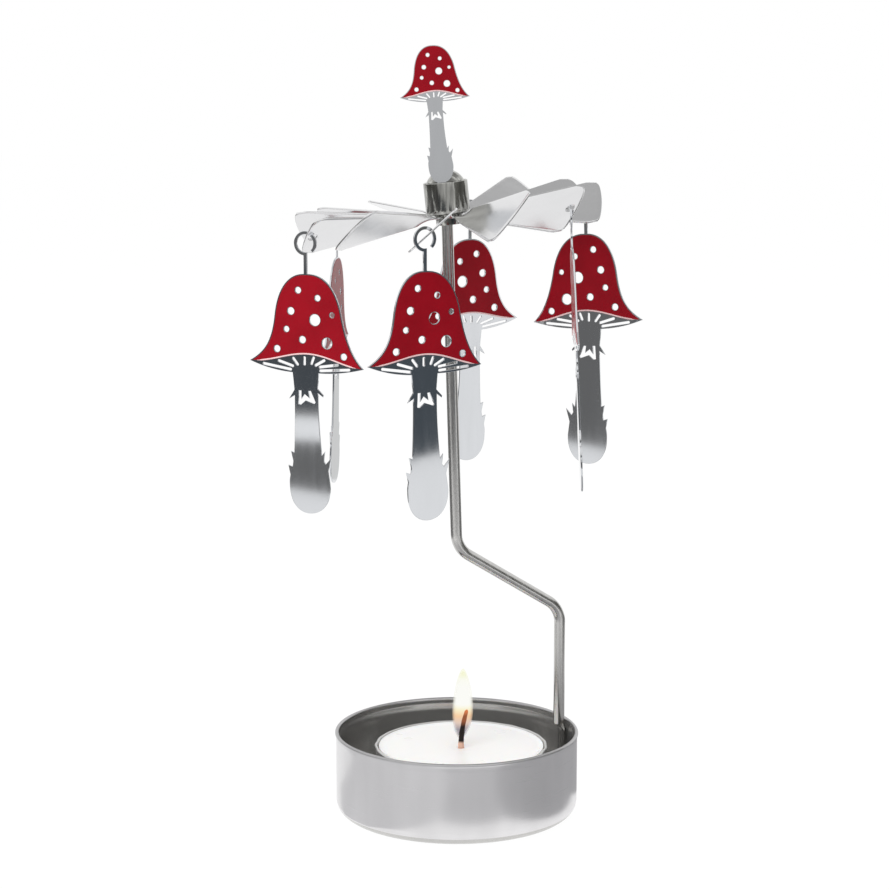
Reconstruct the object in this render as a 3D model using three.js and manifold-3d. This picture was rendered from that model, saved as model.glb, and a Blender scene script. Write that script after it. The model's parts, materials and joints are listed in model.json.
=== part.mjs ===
// A rotary candle holder: a steel cup for a tealight, a bent rod ground to a needle point,
// and a wheel of twisted blades that turns on the point and carries six hanging toadstools.
//
// Millimetres and degrees. The origin is the middle of the cup's flat bottom, +Z is up,
// and +X points to the side on which the rod stands.

import * as THREE from 'three';
import { mergeVertices } from 'three/addons/utils/BufferGeometryUtils.js';
import Module from 'manifold-3d';

const wasm = await Module();
wasm.setup();

// Clearances
const SEAT_GAP = 0.3;

// Cup
const CUP_RADIUS = 27;
const CUP_HEIGHT = 18.5;
const CUP_WALL = 0.6;
const CUP_CORNER_RADIUS = 3;
const LIP_RADIUS = 0.42;

// Rod
const ROD_DIAMETER = 2.5;
const ROD_AZIMUTH = 20;
const ROD_BEND_RADIUS = 6;
const LOWER_BEND_HEIGHT = 44.4;
const UPPER_BEND_HEIGHT = 59.9;
const ROD_LEAN = 1.8;
const NEEDLE_LENGTH = 5;
const NEEDLE_TIP_RADIUS = 0.15;
const FOOT_END_SHARE = 0.6;
const FOOT_THICKNESS = 1.2;
const FOOT_WIDTH = 3.1;
const FOOT_LENGTH = 11;
const FOOT_CLEARANCE = 5;

// Wheel
const PIVOT_HEIGHT = 138.3;
const TILT_TO_LEFT = 5.9;
const TILT_TO_FRONT = 0.9;
const SHEET_THICKNESS = 0.4;
const WHEEL_DROP = 5;
const BLADE_COUNT = 12;
const WHEEL_RADIUS = 33.2;
const BLADE_WIDTH = 14.6;
const BLADE_TWIST = 34.5;
const BLADE_ROOT_RADIUS = 5.3;
const TWIST_LENGTH = 4.5;
const BLADE_CORNER_RADIUS = 2.4;
const ROOT_SLIT = 0.45;
// How each blade differs from the next, from the front hook's blade on, anticlockwise
const BLADE_LIFT = [-0.7, 1.9, 0.6, 0, 0.3, 2, -0.4, 0.4, -0.5, 0.8, -0.8, 1.6];
const BLADE_EXTRA_TWIST = [2, 8.5, 3, 0, 2, 6, 0, -8, 0, 0, 0, 0];
const BLADE_SWAY = [0, 0, 0, 0, 0, 0, 0, 0, 0, 0, 0, -1.5];

// Hub
const SLEEVE_RADIUS = 4.8;
const SLEEVE_WALL = 0.4;
const SLEEVE_HEIGHT = 7;
const SLEEVE_NECK_RADIUS = 3.6;
const SPIGOT_WALL = 0.4;
const SPIGOT_LENGTH = 1.6;
const DOME_HEIGHT = 2.6;
const SLEEVE_CHAMFER = 0.25;
const CAP_DEPTH = 3.2;

// Hooks
const FIRST_HOOK_ANGLE = -98.5;
const HOOK_DIAMETER = 5.2;
const HOOK_WIRE = 0.7;
const HOOK_HOLE_DIAMETER = 2.1;
const HOOK_HOLE_MARGIN = 1.6;
const HOOK_TOE_IN = 45;
const EXTRA_TOE_IN = [7, 7, 4, 4, 15.5, -2.5];
const HANG_SWING = [0, 0, -1.8, 0, 0, 0];
const HANG_TILT = [0, -2.8, 0, 0, -1, 0];
const HOOK_SEAT_ANGLE = 42;
const HOOK_OPENING_ANGLE = -48;
const NECK_LENGTH = 3.85;
const NECK_WIDTH = 0.8;

// Toadstool
const HAT_WIDTH = 26.5;
const HAT_HEIGHT = 19.5;
const TOADSTOOL_HEIGHT = 51.6;
const STEM_WIDTH = 5.8;
const BULB_WIDTH = 9.5;
const BRIM_DEPTH = 3.8;
const GILL_WIDTH = 0.55;
const BRIM_BORDER = 0.8;
const SKIRT_CUT_HEIGHT = 3;

// Top toadstool
const TOP_SCALE = 0.56;
const TOP_LEAN = 2.2;
const TOP_ACROSS = -0.7;
const TAB_WIDTH = 2;

// Tealight
const TEALIGHT_RADIUS = 19;
const TEALIGHT_HEIGHT = 14.2;
const TEALIGHT_WALL = 0.3;
const TEALIGHT_RIM_RADIUS = 0.5;
const TEALIGHT_CORNER = 1.5;
const TEALIGHT_RIGHT = 1;
const TEALIGHT_FRONT = 0.6;
const WAX_DEPTH = 12.2;
const WAX_DISH = 0.7;
const WAX_CREEP = 0.45;
const WICK_RADIUS = 0.7;
const WICK_HEIGHT = 9.4;
const WICK_REACH = 1.6;
const WICK_TAPER = 0.35;
const SUSTAINER_RADIUS = 6;
const SUSTAINER_THICKNESS = 0.3;
const SUSTAINER_NECK_RADIUS = 1.5;
const SUSTAINER_NECK_HEIGHT = 3;

const radians = THREE.MathUtils.degToRad;
const object = new THREE.Group();

// Finishes
const finish = (color, roughness, metalness) =>
  new THREE.MeshStandardMaterial({ color, roughness, metalness });
const brushedSteel = finish(0xbdbdba, 0.38, 1);
const wireSteel = finish(0x9a9a98, 0.3, 1);
const brightSheet = finish(0xd9d9d9, 0.22, 1);
const chrome = finish(0xc8c8ca, 0.08, 1);
const enamelledSheet = finish(0xb00018, 0.3, 0.2);
const aluminium = finish(0xd6d6d6, 0.35, 1);
const waxWhite = finish(0xf4f3ee, 0.5, 0);
const charredCotton = finish(0x2a2320, 0.9, 0);

// Adds one piece to a group under its own name
function addPiece(group, name, geometry, material) {
  const mesh = new THREE.Mesh(geometry, material);
  mesh.name = name;
  group.add(mesh);
  return mesh;
}

// Turns a closed surface so that its faces point out
function facingOut(geometry) {
  geometry.deleteAttribute('uv');
  geometry.deleteAttribute('normal');
  const merged = mergeVertices(geometry, 1e-4);
  const place = merged.getAttribute('position');
  const index = merged.getIndex();
  const corner = [new THREE.Vector3(), new THREE.Vector3(), new THREE.Vector3()];
  let volume = 0;
  const kept = [];
  for (let i = 0; i < index.count; i += 3) {
    const [a, b, c] = [index.getX(i), index.getX(i + 1), index.getX(i + 2)];
    if (a === b || b === c || c === a) continue;
    corner[0].fromBufferAttribute(place, a);
    corner[1].fromBufferAttribute(place, b);
    corner[2].fromBufferAttribute(place, c);
    volume += corner[0].dot(corner[1].cross(corner[2]));
    kept.push(a, b, c);
  }
  if (volume < 0) kept.reverse();
  merged.setIndex(kept);
  return merged;
}

// A profile of [radius, height] points, closed on the axis or on itself, turned about Z
function turned(profile, segments) {
  const points = profile.map(([radius, height]) => new THREE.Vector2(radius, height));
  const geometry = new THREE.LatheGeometry(points, segments);
  geometry.rotateX(Math.PI / 2);
  return facingOut(geometry);
}

// Points on an arc in a profile, from one angle to another, both ends included
function arc(centreRadius, centreHeight, radius, from, to, steps) {
  return Array.from({ length: steps + 1 }, (_, i) => {
    const angle = radians(from + ((to - from) * i) / steps);
    return [centreRadius + radius * Math.cos(angle), centreHeight + radius * Math.sin(angle)];
  });
}

// A closed skin over rings that all have the same number of points
function lofted(rings) {
  const count = rings[0].length;
  const positions = rings.flat().flatMap((point) => [point.x, point.y, point.z]);
  const index = [];
  for (let ring = 0; ring + 1 < rings.length; ring++) {
    for (let i = 0; i < count; i++) {
      const a = ring * count + i;
      const b = ring * count + ((i + 1) % count);
      index.push(a, b, b + count, a, b + count, a + count);
    }
  }
  const last = (rings.length - 1) * count;
  for (let i = 1; i + 1 < count; i++) {
    index.push(0, i + 1, i, last, last + i, last + i + 1);
  }
  const geometry = new THREE.BufferGeometry();
  geometry.setAttribute('position', new THREE.Float32BufferAttribute(positions, 3));
  geometry.setIndex(index);
  return facingOut(geometry);
}

// One solid cut by another
function cut(geometry, tool) {
  const solids = [geometry, tool].map((shape) => {
    const closed = facingOut(shape.clone());
    const vertProperties = new Float32Array(closed.getAttribute('position').array);
    const triVerts = new Uint32Array(closed.getIndex().array);
    return new wasm.Manifold(new wasm.Mesh({ numProp: 3, vertProperties, triVerts }));
  });
  const result = solids[0].subtract(solids[1]).getMesh();
  const left = new THREE.BufferGeometry();
  left.setAttribute('position', new THREE.BufferAttribute(result.vertProperties, 3));
  left.setIndex(new THREE.BufferAttribute(result.triVerts, 1));
  return left;
}

// A path round given [x, y] corners
function cornered(corners) {
  return new THREE.Path(corners.map(([x, y]) => new THREE.Vector2(x, y)));
}

function roundHole(x, y, radius, sides) {
  const corners = Array.from({ length: sides }, (_, i) => {
    const angle = (2 * Math.PI * (i + 0.5)) / sides;
    return [x + radius * Math.cos(angle), y + radius * Math.sin(angle)];
  });
  return cornered(corners);
}

// A stamped flat piece: an outline with its holes, centred on its own thickness
function stamped(shape, curveSegments) {
  const settings = { depth: SHEET_THICKNESS, bevelEnabled: false, curveSegments };
  const geometry = new THREE.ExtrudeGeometry(shape, settings);
  geometry.translate(0, 0, -SHEET_THICKNESS / 2);
  return facingOut(geometry);
}

// Cup

function makeCup() {
  const innerRadius = CUP_RADIUS - CUP_WALL;
  const innerCorner = CUP_CORNER_RADIUS - CUP_WALL;
  const cornerRadius = CUP_RADIUS - CUP_CORNER_RADIUS;
  const lipHeight = CUP_HEIGHT - LIP_RADIUS;
  const lipCentre = innerRadius + LIP_RADIUS;
  const profile = [
    [0, 0],
    ...arc(cornerRadius, CUP_CORNER_RADIUS, CUP_CORNER_RADIUS, -90, 0, 4),
    [CUP_RADIUS, lipHeight - LIP_RADIUS],
    ...arc(lipCentre, lipHeight, LIP_RADIUS, -20, 180, 5),
    ...arc(cornerRadius, CUP_CORNER_RADIUS, innerCorner, 0, -90, 3),
    [0, CUP_WALL],
  ];
  return turned(profile, 60);
}

// Rod

// The rod lies in one upright plane through the cup's axis. A station holds its place there,
// along the plane and up, the way the wire runs, and its section's two half widths.
function rodStations() {
  const radius = ROD_DIAMETER / 2;
  const wallRadius = CUP_RADIUS - CUP_WALL - SEAT_GAP;
  const along = wallRadius - radius;
  const footAlong = wallRadius - FOOT_THICKNESS / 2;
  const footTop = FOOT_CLEARANCE + FOOT_LENGTH;
  const flat = [FOOT_THICKNESS / 2, FOOT_WIDTH / 2];
  const footEnd = flat.map((side) => side * FOOT_END_SHARE);
  const round = [radius, radius];
  const up = new THREE.Vector2(0, 1);
  const lower = new THREE.Vector2(along, LOWER_BEND_HEIGHT);
  const upper = new THREE.Vector2(0, UPPER_BEND_HEIGHT);
  const lean = radians(ROD_LEAN);
  const top = new THREE.Vector2(-(PIVOT_HEIGHT - UPPER_BEND_HEIGHT) * Math.tan(lean), PIVOT_HEIGHT);
  const slope = upper.clone().sub(lower).normalize();
  const rise = top.clone().sub(upper).normalize();
  const needleStart = top.clone().addScaledVector(rise, -NEEDLE_LENGTH);
  return [
    { place: new THREE.Vector2(footAlong, FOOT_CLEARANCE), way: up, half: footEnd },
    { place: new THREE.Vector2(footAlong, FOOT_CLEARANCE + radius), way: up, half: flat },
    { place: new THREE.Vector2(footAlong, footTop), way: up, half: flat },
    { place: new THREE.Vector2(along, footTop + ROD_DIAMETER), way: up, half: round },
    ...bend(lower, up, slope, round),
    ...bend(upper, slope, rise, round),
    { place: needleStart, way: rise, half: round },
    { place: top.clone(), way: rise, half: [NEEDLE_TIP_RADIUS, NEEDLE_TIP_RADIUS] },
  ];
}

// Stations round a bend whose corner and two ways are given
function bend(corner, from, to, half) {
  const turn = Math.acos(from.dot(to));
  const setback = ROD_BEND_RADIUS * Math.tan(turn / 2);
  const start = corner.clone().addScaledVector(from, -setback);
  const side = Math.sign(from.cross(to));
  const towards = new THREE.Vector2(-from.y, from.x).multiplyScalar(side * ROD_BEND_RADIUS);
  const centre = start.clone().add(towards);
  const steps = Math.max(3, Math.round(turn / radians(10)));
  return Array.from({ length: steps + 1 }, (_, i) => {
    const angle = (side * turn * i) / steps;
    return {
      place: start.clone().rotateAround(centre, angle),
      way: from.clone().rotateAround(new THREE.Vector2(), angle),
      half,
    };
  });
}

function makeRod() {
  const sides = 16;
  const azimuth = radians(ROD_AZIMUTH);
  const outward = new THREE.Vector3(Math.cos(azimuth), Math.sin(azimuth), 0);
  const across = new THREE.Vector3(-Math.sin(azimuth), Math.cos(azimuth), 0);
  const rings = rodStations().map(({ place, way, half }) =>
    Array.from({ length: sides }, (_, i) => {
      const angle = (2 * Math.PI * i) / sides;
      const inPlane = half[0] * Math.cos(angle);
      const point = new THREE.Vector3(0, 0, place.y - inPlane * way.x);
      point.addScaledVector(outward, place.x + inPlane * way.y);
      return point.addScaledVector(across, half[1] * Math.sin(angle));
    }),
  );
  return lofted(rings);
}

// The point on which the wheel turns
function needleTip() {
  const { place } = rodStations().at(-1);
  const azimuth = radians(ROD_AZIMUTH);
  return new THREE.Vector3(place.x * Math.cos(azimuth), place.x * Math.sin(azimuth), place.y);
}

// Wheel

// Half a blade's width at a distance from the wheel's centre, before its corners are rounded
function halfBlade(radius) {
  const root = (Math.PI * BLADE_ROOT_RADIUS) / BLADE_COUNT - ROOT_SLIT / 2;
  const outer = Math.sqrt(WHEEL_RADIUS ** 2 - (BLADE_WIDTH / 2) ** 2);
  const share = (radius - BLADE_ROOT_RADIUS) / (outer - BLADE_ROOT_RADIUS);
  return root + (BLADE_WIDTH / 2 - root) * share;
}

// The blade's flat panel past the twist, along the blade in x and across it in y
function bladePanel(holed) {
  const set = BLADE_ROOT_RADIUS + TWIST_LENGTH;
  const cornerAcross = BLADE_WIDTH / 2;
  const cornerAlong = Math.sqrt(WHEEL_RADIUS ** 2 - cornerAcross ** 2);
  const sideAlong = cornerAlong - BLADE_CORNER_RADIUS;
  const endAcross = cornerAcross - BLADE_CORNER_RADIUS;
  const endAlong = Math.sqrt(WHEEL_RADIUS ** 2 - endAcross ** 2);
  const shape = new THREE.Shape();
  shape.moveTo(set, 0);
  shape.lineTo(set, -halfBlade(set));
  shape.lineTo(sideAlong, -halfBlade(sideAlong));
  shape.quadraticCurveTo(cornerAlong, -cornerAcross, endAlong, -endAcross);
  shape.lineTo(WHEEL_RADIUS, 0);
  shape.lineTo(endAlong, endAcross);
  shape.quadraticCurveTo(cornerAlong, cornerAcross, sideAlong, halfBlade(sideAlong));
  shape.lineTo(set, halfBlade(set));
  if (holed) shape.holes.push(roundHole(WHEEL_RADIUS - HOOK_HOLE_MARGIN, 0, HOOK_HOLE_DIAMETER / 2, 12));
  return shape.extractPoints(4);
}

const bladeAngle = (blade) => radians(FIRST_HOOK_ANGLE + bladeLead()) + (2 * Math.PI * blade) / BLADE_COUNT;

// Where a point of the flat stamped wheel lies once its blades are bent. The twist, the lift
// and the sway grow smoothly from none at the blade's root, and the rest of the blade is flat.
function wheelPoint({ along, across, blade, angle }, height) {
  const share = THREE.MathUtils.smoothstep(along, BLADE_ROOT_RADIUS, BLADE_ROOT_RADIUS + TWIST_LENGTH);
  const twist = radians(BLADE_TWIST + BLADE_EXTRA_TWIST[blade]) * share;
  const turn = angle + radians(BLADE_SWAY[blade]) * share;
  const lift = (along - BLADE_ROOT_RADIUS) * Math.tan(radians(BLADE_LIFT[blade])) * share;
  const sideways = across * Math.cos(twist) - height * Math.sin(twist);
  const up = across * Math.sin(twist) + height * Math.cos(twist);
  return new THREE.Vector3(
    along * Math.cos(turn) - sideways * Math.sin(turn),
    along * Math.sin(turn) + sideways * Math.cos(turn),
    up + lift,
  );
}

// One stamped sheet: a pierced middle, a strip of twist for each blade, and the flat panels
function makeWheel(boreRadius) {
  const flat = [];
  const faces = [];
  const known = new Map();
  const vertex = (along, across, blade, angle = bladeAngle(blade)) => {
    const point = { along, across, blade: blade % BLADE_COUNT, angle };
    const place = wheelPoint(point, 0).toArray();
    const key = place.map((value) => value.toFixed(4)).join();
    if (!known.has(key)) known.set(key, flat.push(point) - 1);
    return known.get(key);
  };
  const quad = (a, b, c, d) => faces.push([a, b, c], [a, c, d]);
  const twistSteps = 4;
  const rootHalf = halfBlade(BLADE_ROOT_RADIUS);
  for (let blade = 0; blade < BLADE_COUNT; blade++) {
    const rootRow = [-1, 0, 1].map((side) => vertex(BLADE_ROOT_RADIUS, side * rootHalf, blade));
    const nextRoot = vertex(BLADE_ROOT_RADIUS, -rootHalf, blade + 1);
    const rim = [...rootRow, nextRoot];
    const bore = rim.map((id) => {
      const place = wheelPoint(flat[id], 0);
      return vertex(boreRadius, 0, blade, Math.atan2(place.y, place.x));
    });
    for (let i = 0; i < 3; i++) quad(bore[i], rim[i], rim[i + 1], bore[i + 1]);
    let row = rootRow;
    for (let step = 1; step <= twistSteps; step++) {
      const along = BLADE_ROOT_RADIUS + (TWIST_LENGTH * step) / twistSteps;
      const next = [-1, 0, 1].map((side) => vertex(along, side * halfBlade(along), blade));
      for (let i = 0; i < 2; i++) quad(row[i], next[i], next[i + 1], row[i + 1]);
      row = next;
    }
    const panel = bladePanel(blade % 2 === 0);
    const outline = [panel.shape, ...panel.holes];
    const ids = outline.flat().map((point) => vertex(point.x, point.y, blade));
    for (const face of THREE.ShapeUtils.triangulateShape(panel.shape, panel.holes)) {
      faces.push(face.map((corner) => ids[corner]));
    }
  }
  return thickened(flat, faces);
}

// Gives a triangulated sheet its thickness, with a wall along each edge that only one face has
function thickened(flat, faces) {
  const half = SHEET_THICKNESS / 2;
  const count = flat.length;
  const tops = flat.map((point) => wheelPoint(point, half));
  const bottoms = flat.map((point) => wheelPoint(point, -half));
  const index = [];
  const edges = new Set();
  for (const [a, b, c] of faces) {
    index.push(a, b, c, count + a, count + c, count + b);
    for (const edge of [[a, b], [b, c], [c, a]]) edges.add(edge.join());
  }
  for (const edge of edges) {
    const [a, b] = edge.split(',').map(Number);
    if (!edges.has([b, a].join())) index.push(a, count + a, count + b, a, count + b, b);
  }
  const positions = [...tops, ...bottoms].flatMap((point) => point.toArray());
  const geometry = new THREE.BufferGeometry();
  geometry.setAttribute('position', new THREE.Float32BufferAttribute(positions, 3));
  geometry.setIndex(index);
  return facingOut(geometry);
}

// How far a hooked blade stands ahead of its hook ring, so that the ring passes its hole
function bladeLead() {
  const reach = hookRadius() * Math.cos(radians(HOOK_SEAT_ANGLE)) * Math.sin(radians(HOOK_TOE_IN));
  return THREE.MathUtils.radToDeg(reach / (WHEEL_RADIUS - HOOK_HOLE_MARGIN));
}

// Hub

// The sleeve stands on the wheel, its spigot passes down through the wheel's middle, and the
// bore clears the rod at the wheel's tilt. Heights are from the pivot.
const wheelTop = -WHEEL_DROP + SHEET_THICKNESS / 2;
const wheelUnder = -WHEEL_DROP - SHEET_THICKNESS / 2;
const sleeveFoot = wheelTop + SEAT_GAP;
const sleeveTop = sleeveFoot + SLEEVE_HEIGHT;
const sleeveBore = SLEEVE_RADIUS - SLEEVE_WALL;
const spigotEnd = wheelUnder - SPIGOT_LENGTH;
const leanAtSpigot = Math.tan(radians(TILT_TO_LEFT + ROD_LEAN)) * -spigotEnd;
const spigotBore = ROD_DIAMETER / 2 + leanAtSpigot + SEAT_GAP;
const spigotRadius = spigotBore + SPIGOT_WALL;
const wheelBore = spigotRadius + SEAT_GAP;
const capFloor = sleeveTop - CAP_DEPTH;
const sleeveShoulder = capFloor - SEAT_GAP;

function makeSleeve() {
  const profile = [
    [spigotBore, spigotEnd],
    [spigotRadius, spigotEnd],
    [spigotRadius, sleeveFoot],
    [SLEEVE_NECK_RADIUS + SPIGOT_WALL, sleeveFoot],
    [SLEEVE_RADIUS, sleeveFoot + (SLEEVE_RADIUS - SLEEVE_NECK_RADIUS)],
    [SLEEVE_RADIUS, sleeveTop - SLEEVE_CHAMFER],
    [SLEEVE_RADIUS - SLEEVE_CHAMFER / 2, sleeveTop],
    [sleeveBore, sleeveTop],
    [sleeveBore, sleeveShoulder],
    [spigotBore, sleeveShoulder - (sleeveBore - spigotBore)],
    [spigotBore, spigotEnd],
  ];
  return turned(profile, 36);
}

// The cap closes the sleeve's top. Its blind hole sits on the needle's point, and a flat
// on its front leaves room for the top toadstool's tab.
function makeBearingCap() {
  const radius = sleeveBore - SEAT_GAP;
  const rim = sleeveTop;
  const ballRadius = (radius ** 2 + DOME_HEIGHT ** 2) / (2 * DOME_HEIGHT);
  const openAngle = THREE.MathUtils.radToDeg(Math.asin(radius / ballRadius));
  const dimple = NEEDLE_TIP_RADIUS + SEAT_GAP;
  const mouth = Math.min(radius - SLEEVE_WALL, spigotBore);
  const profile = [
    [mouth, capFloor],
    [radius, capFloor],
    ...arc(0, rim + DOME_HEIGHT - ballRadius, ballRadius, 90 - openAngle, 90, 5),
    [0, SEAT_GAP],
    [dimple, SEAT_GAP - NEEDLE_TIP_RADIUS],
    [mouth, capFloor],
  ];
  const cap = turned(profile, 32);
  const room = new THREE.BoxGeometry(2 * radius, radius, 4 * SLEEVE_HEIGHT);
  room.translate(0, -(tabPlane() - SHEET_THICKNESS / 2 - SEAT_GAP) - radius / 2, 0);
  return cut(cap, room);
}

// How far in front of the hub's axis the top toadstool's sheet stands
function tabPlane() {
  const corner = sleeveBore - SEAT_GAP;
  const reach = Math.abs(TOP_ACROSS) + TAB_WIDTH / 2;
  return Math.sqrt(corner ** 2 - reach ** 2) - SHEET_THICKNESS / 2;
}

// Toadstool

// The hat's lower edge between the red and the gills, and the brim's lower edge, by x
const hatEdge = (x) => -HAT_HEIGHT * 0.875 - (HAT_HEIGHT * 0.093 * x * x) / (HAT_WIDTH / 2) ** 2;
const gillCentre = -HAT_HEIGHT * 1.105;
const brimHeight = -HAT_HEIGHT * 0.89 - BRIM_DEPTH;

// How far to the right of the hat's middle the bulb ends
const footAcross = () => BULB_WIDTH * 0.06;

// A toadstool in outline, its hat's top at the origin, y up. The hat is drawn right and left
// of the middle, the brim hangs in a shallow bow, and the stem ends in a bulb with ragged scales.
// A tab, where there is one, goes on down from the bulb.
function drawToadstool(shape, tabHalf = 0, tabLength = 0) {
  const half = HAT_WIDTH / 2;
  const hat = (share) => -HAT_HEIGHT * share;
  const brim = brimHeight;
  const stem = STEM_WIDTH / 2;
  const bulb = BULB_WIDTH / 2;
  const foot = -TOADSTOOL_HEIGHT;
  const footMiddle = footAcross();
  const stemLength = TOADSTOOL_HEIGHT + brim;
  const down = (share) => brim - stemLength * share;
  shape.bezierCurveTo(-half * 0.28, 0, -half * 0.5, hat(0.14), -half * 0.555, hat(0.48));
  shape.bezierCurveTo(-half * 0.61, hat(0.76), -half * 0.74, hat(0.87), -half, hat(0.97));
  shape.quadraticCurveTo(-half * 0.65, brim * 0.985, -stem * 1.1, brim);
  shape.lineTo(-stem * 0.97, down(0.122));
  shape.lineTo(-stem * 1.42, down(0.188));
  shape.lineTo(-stem * 0.95, down(0.162));
  shape.quadraticCurveTo(-stem * 0.95, down(0.4), -stem * 1.03, down(0.57));
  shape.lineTo(-stem * 1.3, down(0.56));
  shape.lineTo(-stem * 1.12, down(0.63));
  shape.lineTo(-stem * 1.18, down(0.67));
  shape.lineTo(-stem * 1.53, down(0.66));
  shape.lineTo(-stem * 1.36, down(0.73));
  shape.quadraticCurveTo(-bulb * 0.88, down(0.76), -bulb * 0.87, down(0.79));
  shape.bezierCurveTo(-bulb * 0.87, down(0.93), -bulb * 0.46, foot, footMiddle - tabHalf, foot);
  if (tabLength > 0) {
    shape.lineTo(footMiddle - tabHalf, foot - tabLength);
    shape.lineTo(footMiddle + tabHalf, foot - tabLength);
    shape.lineTo(footMiddle + tabHalf, foot);
  }
  shape.bezierCurveTo(bulb * 0.7, foot, bulb * 1.18, down(0.93), bulb * 1.13, down(0.79));
  shape.lineTo(bulb * 1.03, down(0.69));
  shape.lineTo(bulb * 1.2, down(0.59));
  shape.lineTo(bulb * 0.92, down(0.64));
  shape.lineTo(bulb * 0.83, down(0.62));
  shape.lineTo(bulb * 0.88, down(0.55));
  shape.lineTo(bulb * 0.73, down(0.58));
  shape.quadraticCurveTo(stem * 0.92, down(0.35), stem * 0.93, down(0.14));
  shape.lineTo(stem * 1.33, down(0.167));
  shape.lineTo(stem * 1.36, down(0.152));
  shape.lineTo(stem * 0.9, down(0.108));
  shape.lineTo(stem, brim);
  shape.quadraticCurveTo(half * 0.6, brim * 1.005, half, hat(1.02));
  shape.bezierCurveTo(half * 0.82, hat(0.91), half * 0.71, hat(0.74), half * 0.63, hat(0.48));
  shape.bezierCurveTo(half * 0.55, hat(0.14), half * 0.32, 0, NECK_WIDTH / 2, 0);
}

// The hat's round holes: across and down as shares of the hat, and radius as a share of its width
const HAT_HOLES = [
  [-0.13, 0.18, 0.025],
  [0.21, 0.26, 0.024],
  [-0.26, 0.41, 0.029],
  [0.16, 0.5, 0.046],
  [0.46, 0.44, 0.02],
  [-0.34, 0.61, 0.023],
  [-0.06, 0.72, 0.028],
  [0.37, 0.75, 0.044],
  [-0.51, 0.83, 0.027],
  [0.66, 0.89, 0.026],
];
const GILL_ANGLES = [14, 27, 46, 68, 97, 124, 148, 165];

function hatHoles() {
  return HAT_HOLES.map(([across, down, share]) => {
    const radius = share * HAT_WIDTH;
    return roundHole((across * HAT_WIDTH) / 2, -down * HAT_HEIGHT, radius, radius > 1 ? 12 : 8);
  });
}

// Slots that fan out between the stem's top and the hat's lower edge or the brim
function gillSlots() {
  const inner = STEM_WIDTH * 0.6;
  return GILL_ANGLES.map((degrees) => {
    const angle = radians(degrees);
    const [cos, sin] = [Math.cos(angle), Math.sin(angle)];
    const inside = (reach) => gillCentre + reach * sin < hatEdge(reach * cos) - BRIM_BORDER;
    const step = 0.1;
    let outer = inner;
    while (inside(outer + step) && outer * Math.abs(cos) < HAT_WIDTH * 0.37) outer += step;
    const wide = GILL_WIDTH / 2;
    const narrow = wide * 0.8;
    return cornered([
      [inner * cos + narrow * sin, gillCentre + inner * sin - narrow * cos],
      [outer * cos + wide * sin, gillCentre + outer * sin - wide * cos],
      [outer * cos - wide * sin, gillCentre + outer * sin + wide * cos],
      [inner * cos - narrow * sin, gillCentre + inner * sin + narrow * cos],
    ]);
  });
}

// The cut along the skirt's ragged hem, in shares of the stem's half width and of the cut's height
const SKIRT_CUT = [
  [-0.6, 0], [-0.65, 0.97], [-0.45, 1], [-0.07, 0.68], [0.64, 0.91], [0.72, 0.8],
  [0.34, 0], [0.17, 0.02], [0.26, 0.55], [-0.14, 0.26], [-0.42, 0.63], [-0.41, 0],
];

function skirtCut() {
  const half = STEM_WIDTH / 2;
  const top = brimHeight - STEM_WIDTH * 0.66;
  return cornered(SKIRT_CUT.map(([across, down]) => [across * half, top - down * SKIRT_CUT_HEIGHT]));
}

const hookRadius = () => (HOOK_DIAMETER - HOOK_WIRE) / 2;
const hookToHat = HOOK_DIAMETER / 2 + NECK_LENGTH;

// A pendant: its open hook ring round the origin, its neck, and its toadstool below
function makePendant() {
  const outer = HOOK_DIAMETER / 2;
  const inner = outer - HOOK_WIRE;
  const side = NECK_WIDTH / 2;
  const opening = radians(HOOK_OPENING_ANGLE);
  const neckInside = -Math.acos(side / inner);
  const neckOutside = -Math.acos(-side / outer);
  const shape = new THREE.Shape();
  shape.absarc(0, hookToHat, inner, neckInside, opening - 2 * Math.PI, true);
  shape.absarc(0, hookToHat, outer, opening, neckOutside + 2 * Math.PI, false);
  shape.lineTo(-side, 0);
  drawToadstool(shape);
  shape.holes.push(...hatHoles(), ...gillSlots(), skirtCut());
  const geometry = stamped(shape, 7);
  geometry.translate(0, -hookToHat, 0);
  return geometry;
}

// The smaller toadstool on the hub, standing on a tab
function makeTopToadstool() {
  const shape = new THREE.Shape();
  shape.moveTo(NECK_WIDTH / 2, 0);
  shape.lineTo(-NECK_WIDTH / 2, 0);
  const tabLength = sleeveTop + SEAT_GAP / 2 - (sleeveShoulder + SEAT_GAP);
  drawToadstool(shape, TAB_WIDTH / 2 / TOP_SCALE, tabLength / TOP_SCALE);
  shape.holes.push(...hatHoles(), ...gillSlots(), skirtCut());
  const geometry = stamped(shape, 6);
  geometry.translate(-footAcross(), TOADSTOOL_HEIGHT, 0);
  geometry.scale(TOP_SCALE, TOP_SCALE, 1);
  return geometry;
}

// Tealight

function makeTealightCup() {
  const rimHeight = TEALIGHT_HEIGHT - TEALIGHT_RIM_RADIUS;
  const profile = [
    [0, 0],
    [TEALIGHT_RADIUS - TEALIGHT_CORNER, 0],
    [TEALIGHT_RADIUS, TEALIGHT_CORNER],
    [TEALIGHT_RADIUS, rimHeight],
    ...arc(TEALIGHT_RADIUS, rimHeight + TEALIGHT_RIM_RADIUS / 2, TEALIGHT_RIM_RADIUS, -30, 150, 4),
    [TEALIGHT_RADIUS - TEALIGHT_WALL, rimHeight],
    [TEALIGHT_RADIUS - TEALIGHT_WALL, TEALIGHT_CORNER + TEALIGHT_WALL / 2],
    [TEALIGHT_RADIUS - TEALIGHT_CORNER - TEALIGHT_WALL / 2, TEALIGHT_WALL],
    [0, TEALIGHT_WALL],
  ];
  return turned(profile, 48);
}

const waxFloor = TEALIGHT_WALL + SEAT_GAP;
const waxTop = waxFloor + WAX_DEPTH;

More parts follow.
